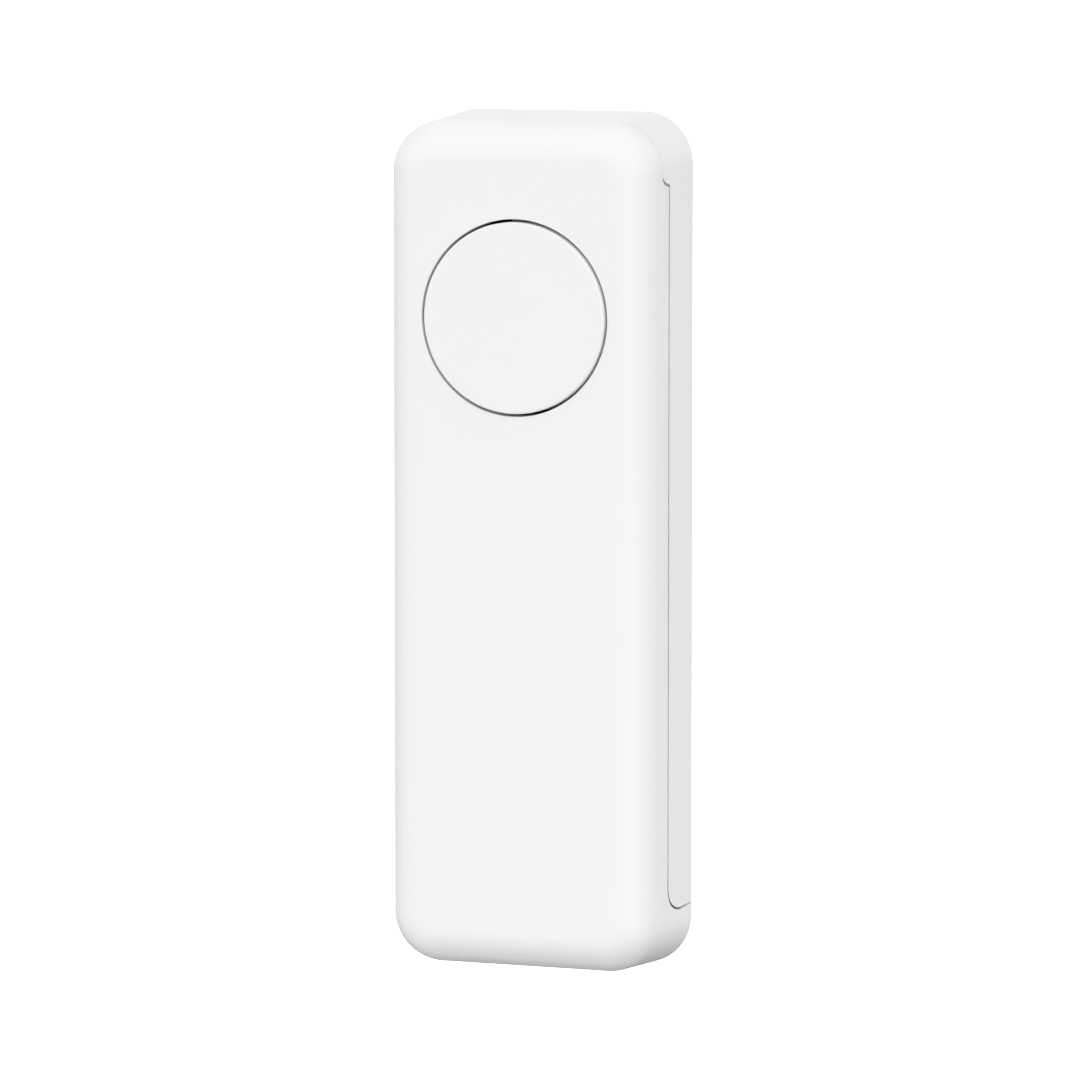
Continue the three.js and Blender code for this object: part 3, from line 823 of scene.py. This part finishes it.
def button(material):
    """The cap with its skirt, the post that reaches the switch, three hooks and three ribs."""
    edge, skirt_inside, fillet = 0.22, BUTTON_RADIUS - 0.9, 0.3
    cap = spin([[0, BUTTON_FACE], *quarter_arc((BUTTON_RADIUS - edge, BUTTON_FACE + edge), edge, -1),
                [BUTTON_RADIUS, BUTTON_SKIRT_END], [skirt_inside, BUTTON_SKIRT_END],
                [skirt_inside, BUTTON_INSIDE + fillet], [skirt_inside - fillet, BUTTON_INSIDE],
                [0, BUTTON_INSIDE]])
    root = BUTTON_INSIDE - ROOT
    post_end, post_radius, chamfer = limits("switch_stem")[0].y - 0.05, 1.6, 0.15
    post = [[0, root], [post_radius, root], [post_radius, post_end - chamfer],
            [post_radius - chamfer, post_end], [0, post_end]]
    unite(cap, spin(post, steps=48))
    hook_start = GUIDE_END + 0.05
    hook_end = hook_start + 0.7
    hook_inside, hook_outside = BUTTON_RADIUS - 0.8, BUTTON_RADIUS - 0.1
    barb = BUTTON_RADIUS + 0.9
    outline = [(hook_inside, BUTTON_SKIRT_END - ROOT), (hook_inside, hook_end),
               (barb - 0.4, hook_end), (barb, hook_start + 0.3), (barb, hook_start),
               (hook_outside, hook_start), (hook_outside, BUTTON_SKIRT_END - ROOT)]
    hook = loft([[(x, y, r) for r, y in outline] for x in (-1.5, 1.5)])
    rib = block((0.8, root, -0.35), (BUTTON_RADIUS - 0.6, BUTTON_INSIDE + 0.5, 0.35))
    for turn in (0, 120, 240):
        unite(cap, copy_of(hook, turn), copy_of(rib, turn + 30))
    bpy.data.objects.remove(hook)
    bpy.data.objects.remove(rib)
    cap.data.transform(Matrix.Translation((0, 0, BUTTON_Z)))
    stand_for("button_cap", cap, "button", material)


# ---- Circuit board ----

PAD_HEIGHT = 0.025
TRACK_HEIGHT = 0.02
TRACK_WIDTH = 0.25
SKIN = 0.002
# How long the metal ends of the parts with two ends are.
TERMINALS = {"status_led": 0.3, "capacitor_1": 0.5, "capacitor_2": 0.5, "inductor": 0.35,
             "antenna": 0.4, **{f"resistor_{i}": 0.25 for i in range(1, 6)}}
MEMORY_PINS = (-1.905, -0.635, 0.635, 1.905)
FRONT_TRACKS = [
    [(-2.25, 17), (-2.25, 12), (-1.1, 9), (-1.1, 4.4)],
    [(2.25, 17), (2.25, 11), (4.5, 8.7), (4.5, -14), (3.5, -15), (3.5, -20.2)],
    [(1.1, 4), (2.6, 2.5), (2.6, -10), (1.2, -11.5), (1.2, -20.2)],
    [(-1.1, 27.9), (-5, 27.9), (-6.5, 26.4), (-6.5, 6), (-5.5, 5), (-5.5, -0.4)],
    [(8.1, 1), (6, 1), (5.4, 0.4), (5.4, -19), (4.6, -20.2)],
    [(-5.2, -7.4), (-4, -8.6), (-4, -12.4)],
    [(-1, -13), (-0.2, -13.8), (-0.2, -20.2)],
    [(-2.9, -35), (-4.4, -35), (-5, -34.4), (-5, -31)],
]
BACK_TRACKS = [
    [(-1.905, 17.9), (-1.905, 14), (-6.5, 9.4), (-6.5, -20), (-4, -22.5)],
    [(-0.635, 17.9), (-0.635, 13), (-5.4, 8.2), (-5.4, 4.6)],
    [(0.635, 17.9), (0.635, 8)],
    [(1.905, 17.9), (1.905, 15), (6.5, 10.4), (6.5, -22)],
    [(-5.9, 22.2), (-7.6, 22.2), (-8.2, 21.6), (-8.2, 8)],
    [(-4.1, 19.8), (-3.3, 20.6), (-3.3, 24.2), (-1.905, 24.2)],
    [(0, -23), (0, -27), (3, -30)],
]
TEST_POINTS = [(x, -30) for x in (-6, -3, 3, 6)]


def layer(front, height):
    """The two depths of a thin layer on the board's front or on its back."""
    if front:
        return BOARD_FRONT - height, BOARD_FRONT - SKIN
    return BOARD_BACK + SKIN, BOARD_BACK + height


def ring_pad(x, z, radius, hole, front):
    near, far = layer(front, PAD_HEIGHT)
    return spin([[hole, near], [radius, near], [radius, far], [hole, far], [hole, near]], x, z, 32)


def square_pad(x, z, width, height, front):
    return plate(rounded_rectangle(width, height, 0.08, x, z, 2), *layer(front, PAD_HEIGHT))


def circuit_board(material):
    low, high = limits("main_board")
    board = plate(rounded_rectangle(high.x - low.x, high.z - low.z, 3), BOARD_FRONT, BOARD_BACK)
    round_corners(board, 0.06, 2)
    holes = [cylinder(1.05, BOARD_FRONT - 1, BOARD_BACK + 1, x, z) for x, z in SCREW_PLACES]
    cut(board, *holes)
    stand_for("main_board", board, "circuit_board", material)


def board_pads(material):
    pads = [ring_pad(x, z, 2.1, 1.1, front) for x, z in SCREW_PLACES for front in (True, False)]
    for name, terminal in TERMINALS.items():
        low, high = limits(name)
        front = low.y < BOARD_FRONT
        middle = (low.z + high.z) / 2
        for x in (low.x, high.x):
            width, height = 2 * terminal + 0.3, high.z - low.z + 0.15
            pads.append(square_pad(x, middle, width, height, front))
    memory = limits("memory_chip")
    for x in MEMORY_PINS:
        for z in (memory[0].z - 0.95, memory[1].z + 0.95):
            pads.append(square_pad(x, z, 0.6, 1.1, False))
    pads += [cylinder(0.75, *layer(False, PAD_HEIGHT), x, z, 32) for x, z in TEST_POINTS]
    for tracks, front in ((FRONT_TRACKS, True), (BACK_TRACKS, False)):
        pads += [ring_pad(*track[-1], 0.32, 0.15, front) for track in tracks]
    keep_metal(pads, "board_pads", material)


def board_tracks(material):
    tracks = [ribbon(points, TRACK_WIDTH, *layer(front, TRACK_HEIGHT))
              for lines, front in ((FRONT_TRACKS, True), (BACK_TRACKS, False)) for points in lines]
    keep(join(tracks), "board_tracks", material, "front")


def solder_fillet(x, z, side, width, rise, front):
    """Solder that climbs the end of a part at x and spreads to one side of it."""
    foot, up = (BOARD_FRONT - PAD_HEIGHT, -1) if front else (BOARD_BACK + PAD_HEIGHT, 1)
    foot += up * 0.005
    spread, shares = 0.4, (0, 0.2, 0.4, 0.6, 0.8, 1)
    slope = [(x + side * (0.02 + spread * (1 - t) ** 2), foot + up * rise * t) for t in shares]
    outline = [(x + side * 0.01, foot), *slope, (x + side * 0.01, foot + up * rise)]
    return loft([[(a, y, end) for a, y in outline] for end in (z - width / 2, z + width / 2)])


def two_ended_chips(materials, metal):
    """The small parts that sit between two metal ends, soldered to the board."""
    ends, solder = [], []
    for name, terminal in TERMINALS.items():
        low, high = limits(name)
        front = low.y < BOARD_FRONT
        inset = Vector((terminal, 0.03, 0.03))
        body = rounded_block(low + inset, high - inset, 0.04, 2)
        stand_for(name, body, name + "_body", materials[NODE_SLOTS[name]])
        middle, width = (low.z + high.z) / 2, 0.9 * (high.z - low.z)
        rise = min(0.5, 0.6 * (high.y - low.y))
        for x, side in ((low.x, -1), (high.x, 1)):
            near, far = sorted((x, x - side * terminal))
            ends.append(rounded_block((near, low.y, low.z), (far, high.y, high.z), 0.05, 2))
            solder.append(solder_fillet(x, middle, side, width, rise, front))
    keep_metal(ends, "chip_ends", metal)
    keep_metal(solder, "chip_solder", metal)


def antenna_print(metal):
    """The bent line of metal along the top of the antenna."""
    low, high = limits("antenna")
    margin = TERMINALS["antenna"] + 0.25
    start, end = low.x + margin, high.x - margin
    near, far = low.z + 0.4, high.z - 0.4
    turns = 6
    points = []
    for i in range(turns + 1):
        x = start + (end - start) * i / turns
        points += [(x, near), (x, far)] if i % 2 else [(x, far), (x, near)]
    line = ribbon(points, 0.2, low.y + 0.01, low.y + 0.028)
    keep(line, "antenna_print", metal, "front")


# ---- Screws that hold the board ----

def screw_thread(root, crest, start, end, pitch):
    """A thread's ridge, which fades in and out at its ends."""
    steps, foot, half_foot, half_crest = 24, root - 0.1, 0.24, 0.03
    count = round((end - start) / pitch * steps)
    rings = []
    for i in range(count + 1):
        angle = 2 * math.pi * i / steps
        y = start + pitch * i / steps
        fade = min(1, i / steps + 0.1, (count - i) / steps + 0.1)
        top = root + (crest - root) * fade
        ring = [(foot, y - half_foot), (top, y - half_crest), (top, y + half_crest), (foot, y + half_foot)]
        rings.append([(r * math.cos(angle), depth, r * math.sin(angle)) for r, depth in ring])
    return loft(rings)


def screw_recess(bottom, top):
    """A cross with sloping ends."""
    arms = []
    for turn in (0, 90):
        rings = []
        for y, x, z in ((bottom, 0.45, 0.12), (top, 1.1, 0.2)):
            rings.append([(x, y, z), (-x, y, z), (-x, y, -z), (x, y, -z)])
        arm = loft(rings)
        arm.data.transform(Matrix.Rotation(math.radians(turn), 4, "Y"))
        arms.append(arm)
    return arms


def board_screws(material):
    """One screw, made with its head's seat at depth 0, in four places and turned a little each time."""
    low, high = limits("board_screw_1")
    length, radius = SEAT - low.y, (high.x - low.x) / 2
    height = high.y - low.y - length
    core, thread, pitch = 0.7, 0.9, 0.65
    angles = [i * math.pi / 16 for i in range(8)]
    dome = [[radius * math.cos(a), height * (0.4 + 0.6 * math.sin(a))] for a in angles]
    screw = spin([[0, -length], [0.3, -length], [core, -length + core], [core, -0.1],
                  [core + 0.1, 0], [radius - 0.05, 0], [radius, 0.05], *dome, [0, height]], steps=48)
    unite(screw, screw_thread(core, thread, -length + 0.5, -1.3, pitch))
    cut(screw, *screw_recess(height - 0.6, height + 0.1))
    remove_slivers(screw)
    for i in range(1, 5):
        low, high = limits(f"board_screw_{i}")
        place = ((low.x + high.x) / 2, SEAT, (low.z + high.z) / 2)
        turned = copy_of(screw, 20 + 33 * i, place)
        stand_for(f"board_screw_{i}", turned, f"screw_{i}", material)
    bpy.data.objects.remove(screw)


# ---- Push switch ----

PEG_PLACES = [(x, BUTTON_Z + z) for x in (-2.35, 2.35) for z in (-2.35, 2.35)]


def switch_housing(material):
    """The switch's body, with a round room for the stem and dome and four pegs for the plate."""
    low, high = limits("switch_housing")
    plate_front = limits("switch_plate")[0].y
    room_end = limits("switch_dome")[1].y + 0.15
    housing = rounded_block(low, high, 0.12)
    cut(housing, cylinder(2.5, low.y - 1, room_end, 0, BUTTON_Z, 64))
    root, shoulder, top = low.y + ROOT, plate_front - 0.05, plate_front - 0.12
    peg = [[0, root], [0.45, root], [0.45, shoulder], [0.35, top], [0, top]]
    unite(housing, *[spin(peg, x, z, 32) for x, z in PEG_PLACES])
    stand_for("switch_housing", housing, "switch_body", material)


def switch_plate(material):
    low, high = limits("switch_plate")
    cover = rounded_block(low, high, 0.06)
    holes = [(1.85, 0, BUTTON_Z), *[(0.5, x, z) for x, z in PEG_PLACES]]
    cutters = [cylinder(radius, low.y - 1, high.y + 1, x, z) for radius, x, z in holes]
    cut(cover, *cutters)
    stand_for("switch_plate", cover, "switch_cover", material)


def switch_stem(material):
    """The plunger, with a rounded top and a flange that the plate holds in."""
    low, high = limits("switch_stem")
    top, flange, end = low.y, high.y - 0.6, high.y
    stem = spin([[0, top], [1.5, top], [1.64, top + 0.06], [1.7, top + 0.2], [1.7, flange],
                 [2.15, flange], [2.2, flange + 0.05], [2.2, end], [0, end]], 0, BUTTON_Z, 64)
    stand_for("switch_stem", stem, "switch_plunger", material)


def switch_dome(material):
    """The thin snap dome, which the stem squashes."""
    dome_low, dome_high = limits("switch_dome")
    radius, rise, sheet = (dome_high.x - dome_low.x) / 2, dome_high.y - dome_low.y, 0.12
    shares = [i / ARC_STEPS for i in range(ARC_STEPS + 1)]
    outside = [[radius * t, dome_low.y + (rise - 0.05) * t ** 2] for t in shares]
    inside = [[(radius - 0.1) * t, dome_low.y + sheet + (rise - sheet) * t ** 2] for t in reversed(shares)]
    turned = spin([*outside, *inside], 0, BUTTON_Z, 64)
    dome = stand_for("switch_dome", turned, "snap_dome", material)
    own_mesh(dome)


def switch_legs(material):
    """Four bent legs from the switch's body to the board."""
    start, board = 5.2, limits("switch_housing")[1].y - 0.08
    legs = bent_legs(start, board, BUTTON_Z, 3.03, (0, 0.45, 0.6, 1.6), 0.15, 0.35, (-2.25, 2.25))
    keep_metal(legs, "switch_legs", material)


# ---- Radio ----

def shield_can(material):
    """A drawn can with rows of holes, and notches along its open edge."""
    low, high = limits("radio_shield")
    sheet, hole_radius, hole_pitch, notch_width, notch_pitch = 0.2, 0.35, 2, 0.8, 2.4
    x, z = (low.x + high.x) / 2, (low.z + high.z) / 2
    width, height = high.x - low.x, high.z - low.z
    outer = rounded_rectangle(width, height, 0.5, x, z)
    can = round_corners(plate(outer, low.y, high.y + 0.5), 0.18)
    inner = rounded_rectangle(width - 2 * sheet, height - 2 * sheet, 0.3, x, z)
    room = round_corners(plate(inner, low.y + sheet, high.y + 1), 0.08)
    cuts = [room, block((low.x - 1, high.y, low.z - 1), (high.x + 1, high.y + 2, high.z + 1))]
    for column in range(-2, 3):
        hole_x = x + hole_pitch * column
        cuts += [cylinder(hole_radius, low.y - 1, low.y + 1, hole_x, z + hole_pitch * row, 24)
                 for row in (-1, 0, 1)]
        notch_x = x + notch_pitch * column - notch_width / 2
        cuts.append(block((notch_x, high.y - 0.3, low.z - 1),
                          (notch_x + notch_width, high.y + 1, high.z + 1)))
    cut(can, *cuts)
    stand_for("radio_shield", can, "shield_can", material)


def radio_chip(chip_material, metal):
    """The processor, with a round mark in one corner, and the lands round its edge."""
    low, high = limits("radio_chip")
    body = rounded_block(low, high, 0.05, 2)
    mark = cylinder(0.28, low.y - 1, low.y + 0.06, low.x + 0.7, high.z - 0.7, 32)
    cut(body, mark)
    stand_for("radio_chip", body, "radio_processor", chip_material)
    lands = []
    near, far = layer(True, PAD_HEIGHT)
    count, pitch, length, width = 8, 0.5, 0.7, 0.24
    for i in range(count):
        step = pitch * (i - (count - 1) / 2)
        x, z = (low.x + high.x) / 2 + step, (low.z + high.z) / 2 + step
        for end_x, end_z in ((low.x, low.z), (high.x, high.z)):
            lands.append(plate(rounded_rectangle(width, length, 0.05, x, end_z, 2), near, far))
            lands.append(plate(rounded_rectangle(length, width, 0.05, end_x, z, 2), near, far))
    keep_metal(lands, "radio_lands", metal)


def radio_crystal(material):
    """A metal can on a thin base."""
    low, high = limits("radio_crystal")
    x, z = (low.x + high.x) / 2, (low.z + high.z) / 2
    width, height = high.x - low.x, high.z - low.z
    base = rounded_rectangle(width, height, 0.2, x, z)
    crystal = round_corners(plate(base, high.y - 0.18, high.y), 0.03, 2)
    top = rounded_rectangle(width - 0.3, height - 0.3, 0.25, x, z)
    unite(crystal, round_corners(plate(top, low.y, high.y - 0.1), 0.08))
    stand_for("radio_crystal", crystal, "crystal_can", material)


def memory_chip(chip_material, metal):
    """A moulded body that draws in from its waist, with a round mark, and its eight bent legs."""
    low, high = limits("memory_chip")
    waist = (low.y + high.y) / 2
    width, height, z = high.x - low.x, high.z - low.z, (low.z + high.z) / 2
    rings = []
    for depth, inset in ((low.y + 0.1, 0.1), (waist - 0.08, 0), (waist + 0.08, 0),
                         (high.y - 0.03, 0.11), (high.y, 0.15)):
        outline = rounded_rectangle(width - 2 * inset, height - 2 * inset, 0.1, 0, z, 3)
        rings.append([(x, depth, end) for x, end in outline])
    body = loft(rings)
    mark = cylinder(0.3, high.y - 0.08, high.y + 1, low.x + 0.8, low.z + 0.8, 32)
    cut(body, mark)
    stand_for("memory_chip", body, "memory_package", chip_material)
    foot = BOARD_BACK + PAD_HEIGHT + 0.09
    legs = bent_legs(waist, foot, z, height / 2 + 0.01, (0, 0.3, 0.5, 1.2), 0.12, 0.2, MEMORY_PINS)
    keep_metal(legs, "memory_legs", metal)


# ---- Reed switch ----

def reed_tube(material):
    """A glass tube that is melted shut round the wire at both ends. It is turned as half a profile
    from its middle up, and its mirror."""
    low, high = limits("reed_glass")
    radius, half = (high.x - low.x) / 2, (high.z - low.z) / 2
    bore, neck, shoulder = radius - 0.25, 0.24, 0.5
    end = quarter_arc((half - 1, 0.5), 1, 0, 8)
    outside = [[shoulder + (radius - shoulder) * (a - 0.5), along] for along, a in end]
    inside = [[bore, half - 1.6], [bore - 0.12, half - 1.4], [neck + 0.12, half - 0.8],
              [neck, half - 0.6], [neck, half]]
    upper = [*inside, *outside]
    tube = spin([*upper, *[[r, -along] for r, along in reversed(upper)], upper[0]], steps=48)
    upright = Matrix.Translation((low + high) / 2) @ Matrix.Rotation(math.pi / 2, 4, "X")
    tube.data.transform(upright)
    stand_for("reed_glass", tube, "reed_tube", material)


def reed_wires(material):
    """The two wires and the flat blades that they end in. The moving blade starts at its pivot."""
    low, high = limits("reed_glass")
    x, y, z = (low + high) / 2
    wire, blade, blade_gap = (0.2, 0.2), (0.45, 0.1), 0.15
    board, foot = limits("reed_lead")[1].y - 0.01, limits("reed_blade_fixed")[1].z - 0.2
    pivot, moving_end = [corner.z for corner in limits("reed_blade_moving")]
    fixed_end = limits("reed_blade_fixed")[0].z
    bend = rounded_path([(board, foot), (y, foot), (y, foot - 1.4)], 0.5)
    flat = [(y, 2 * z - pivot + 0.6), (y - blade_gap, 2 * z - pivot), (y - blade_gap, fixed_end)]
    fixed = swept([*bend, *flat], [wire] * (len(bend) + 1) + [blade] * 2, x, 2.5, 24)
    stand_for("reed_blade_fixed", fixed, "reed_fixed_contact", material)
    mirrored = [(depth, 2 * z - height) for depth, height in bend]
    lead = swept([*mirrored, (y, pivot - 0.06)], [wire], x, 2.5, 24)
    stand_for("reed_lead", lead, "reed_wire", material)
    moving = swept([(y + blade_gap, pivot), (y + blade_gap, moving_end)], [blade], x, 6, 24)
    stand_for("reed_blade_moving", moving, "reed_moving_contact", material)


# ---- Coin cell, its cradle and its contacts ----

CELL_LOW, CELL_HIGH = limits("cell_can")
CELL_RADIUS = (CELL_HIGH.x - CELL_LOW.x) / 2
CELL_Z = (CELL_LOW.z + CELL_HIGH.z) / 2
CELL_FRONT = limits("cell_cap")[0].y


def cell_can(material):
    """The can: its back with a pressed ring, its rounded edge, and its front rim curled over the
    seal."""
    radius, front, back = CELL_RADIUS, CELL_FRONT, CELL_HIGH.y
    sheet, round_edge, curl_radius = 0.3, 0.45, 0.2
    inside, lip, curl_end = radius - sheet, radius - 0.75, front + 0.45
    curl = [[radius - curl_radius * (1 - math.sin(a)), curl_end - curl_radius * math.cos(a)]
            for a in [i * 0.3 for i in range(6)]]
    edge = quarter_arc((radius - round_edge, back - round_edge), round_edge, 0)
    can = spin([[0, back - sheet], [inside, back - sheet], [inside, curl_end], [lip, curl_end],
                [lip, front + 0.25], *curl, *edge,
                [radius - 1.3, back], [radius - 1.4, back - 0.06], [radius - 1.6, back - 0.06],
                [radius - 1.7, back], [0, back]], 0, CELL_Z)
    stand_for("cell_can", can, "cell_case", material)


def cell_gasket(material):
    """The seal between the can and the cap, with a foot under the can's rim."""
    radius, front = CELL_RADIUS, CELL_FRONT
    inside, neck, outside = radius - 1.4, radius - 0.85, radius - 0.35
    seal = spin([[inside, front + 0.1], [inside + 0.05, front + 0.05], [neck - 0.05, front + 0.05],
                 [neck, front + 0.1], [neck, front + 0.55], [outside, front + 0.55],
                 [outside, front + 1.2], [inside, front + 1.2], [inside, front + 0.1]], 0, CELL_Z)
    stand_for("cell_gasket", seal, "cell_seal", material)


def cell_cap(material):
    radius, front = CELL_RADIUS, CELL_FRONT
    cap = spin([[0, front], [radius - 2, front], [radius - 1.8, front + 0.04],
                [radius - 1.5, front + 0.28], [radius - 1.45, front + 0.4], [0, front + 0.4]], 0, CELL_Z)
    stand_for("cell_cap", cap, "cell_lid", material)


def cell_cradle(material):
    """A round tray, open in the middle for one contact and at the foot for the other, with its
    sides cut flat."""
    low, high = limits("cell_cradle")
    opening, outer, floor = 7.2, 11.3, low.y + 0.34
    inner = outer - 1.05
    tray = spin([[opening, low.y], [outer, low.y], [outer, high.y - 0.15], [outer - 0.15, high.y],
                 [inner + 0.3, high.y], [inner, high.y - 0.3], [inner, floor],
                 [opening + 0.1, floor], [opening, floor - 0.1], [opening, low.y]], 0, CELL_Z)
    room = block((low.x, low.y - 1, low.z - 1), (high.x, high.y + 1, high.z + 1))
    contact_gap = block((-3.2, low.y - 1, low.z - 5), (3.2, high.y + 1, CELL_Z - 7.6))
    combine(tray, "INTERSECT", room)
    cut(tray, contact_gap)
    stand_for("cell_cradle", tray, "cell_tray", material)


def cell_contacts(material):
    """The spring under the cell and the clip against its edge, both bent from sheet."""
    z, sheet = CELL_Z, 0.2
    on_board = SEAT + sheet / 2
    under_cell = CELL_FRONT - sheet / 2 - 0.02
    path = rounded_path([(on_board, z - 6.4), (on_board, z - 3.4), (under_cell, z + 1.6),
                         (under_cell, z + 3), (on_board + 0.08, z + 5.2)], 0.4)
    minus = swept(path, [(2, sheet / 2)], 0, 14, 28)
    slot = rounded_rectangle(0.6, 5.6, 0.29, 0, z + 0.6)
    cut(minus, plate(slot, BOARD_BACK, BOARD_BACK + 1))
    stand_for("cell_contact_minus", minus, "cell_spring", material)
    edge = CELL_LOW.z - sheet / 2 - 0.05
    path = rounded_path([(on_board, edge - 3.6), (on_board, edge - 1),
                         (on_board + 0.35, edge - 0.55), (BOARD_BACK + 1.9, edge),
                         (BOARD_BACK + 2.7, edge), (BOARD_BACK + 3.5, edge - 0.6)], 0.3)
    plus = swept(path, [(2.5, sheet / 2)], 0, 14, 28)
    cut(plus, cylinder(0.5, BOARD_BACK, BOARD_BACK + 0.5, 0, edge - 2.4))
    stand_for("cell_contact_plus", plus, "cell_side_contact", material)


def cell_core(material):
    """The cell's filling keeps its CAD mesh."""
    core = frame["nodes"]["cell_core"]
    core.data.materials.clear()
    core.data.materials.append(material)


# ---- The sensor ----

bpy.context.scene.view_settings.view_transform = "Standard"

add_camera()
add_world()
add_softbox("light_left", -50, 15, 2.9)
add_softbox("light_front_right", 40, -10, 6.6)
add_softbox("light_behind_right", 160, -10, 1.8)
add_softbox("light_low_left", -80, -35, 3.7)
add_softbox("light_low_front", -20, -35, 1.7)
add_softbox("light_low_right", 70, -35, 2.3)
add_floor()

CASE_WHITE = (0.83, 0.83, 0.825)
case_plastic = surface("case_plastic", CASE_WHITE, 0.56, 0.012, grain=0.22, mottle_and_pore_shade=0.008)
button_plastic = surface("button_plastic", CASE_WHITE, 0.56, 0.012, grain=0.2, mottle_and_pore_shade=0.008)
# For the two foams, mottle sets the painted shade inside their pores.
foam_grey = surface("adhesive_foam", (0.27, 0.28, 0.3), 0.9, 0.12, grain=0.35, mottle_and_pore_shade=0.4, pores=True)
sponge_black = surface("sponge", (0.03, 0.03, 0.032), 0.95, 0.2, grain=0.5, mottle_and_pore_shade=0.6, pores=True)
board_green = surface("circuit_board", (0.014, 0.12, 0.05), 0.34, 0.006, grain=0.4, mottle_and_pore_shade=0.3)
track_green = surface("board_tracks", (0.045, 0.3, 0.13), 0.3, 0.006, grain=0.4, mottle_and_pore_shade=0.15)
steel = surface("steel", (0.62, 0.62, 0.6), 0.3, 0.008, grain=0.3, metallic=1, stretch=(0.05, 1, 1))
nickel = surface("nickel_plate", (0.56, 0.54, 0.49), 0.27, 0.01, metallic=1)
black_plastic = surface("black_plastic", (0.018, 0.018, 0.02), 0.5, 0.015, mottle_and_pore_shade=0.2)
chip_black = surface("chip_black", (0.028, 0.029, 0.032), 0.62, 0.012, grain=0.15, mottle_and_pore_shade=0.2)
glass = clear("glass", (0.78, 0.93, 0.84), 0.03, 1.5)
white_ceramic = surface("white_ceramic", (0.7, 0.66, 0.56), 0.6, 0.01, grain=0.1, mottle_and_pore_shade=0.08)
tan_ceramic = surface("tan_ceramic", (0.4, 0.26, 0.14), 0.5, 0.01, grain=0.1, mottle_and_pore_shade=0.15)
led_resin = clear("led_resin", (0.95, 0.9, 0.66), 0.1, 1.5)
gasket_grey = surface("gasket", (0.11, 0.12, 0.125), 0.6, 0.01, mottle_and_pore_shade=0.15)
filling_black = surface("cell_filling", (0.008, 0.008, 0.008), 0.9, 0.05, grain=0.12, mottle_and_pore_shade=0.4)

front_shell(case_plastic)
back_cover(case_plastic)
button(button_plastic)
adhesive_pad(foam_grey)
cell_foam(sponge_black)
circuit_board(board_green)
board_pads(nickel)
board_tracks(track_green)
board_screws(steel)
switch_housing(black_plastic)
switch_plate(steel)
switch_stem(black_plastic)
switch_dome(steel)
switch_legs(nickel)
shield_can(nickel)
radio_chip(chip_black, nickel)
radio_crystal(nickel)
memory_chip(chip_black, nickel)
two_ended_chips({"chip_black": chip_black, "tan_ceramic": tan_ceramic,
                 "white_ceramic": white_ceramic, "led_resin": led_resin}, nickel)
antenna_print(nickel)
reed_tube(glass)
reed_wires(nickel)
cell_can(steel)
cell_gasket(gasket_grey)
cell_cap(steel)
cell_cradle(black_plastic)
cell_contacts(nickel)
cell_core(filling_black)
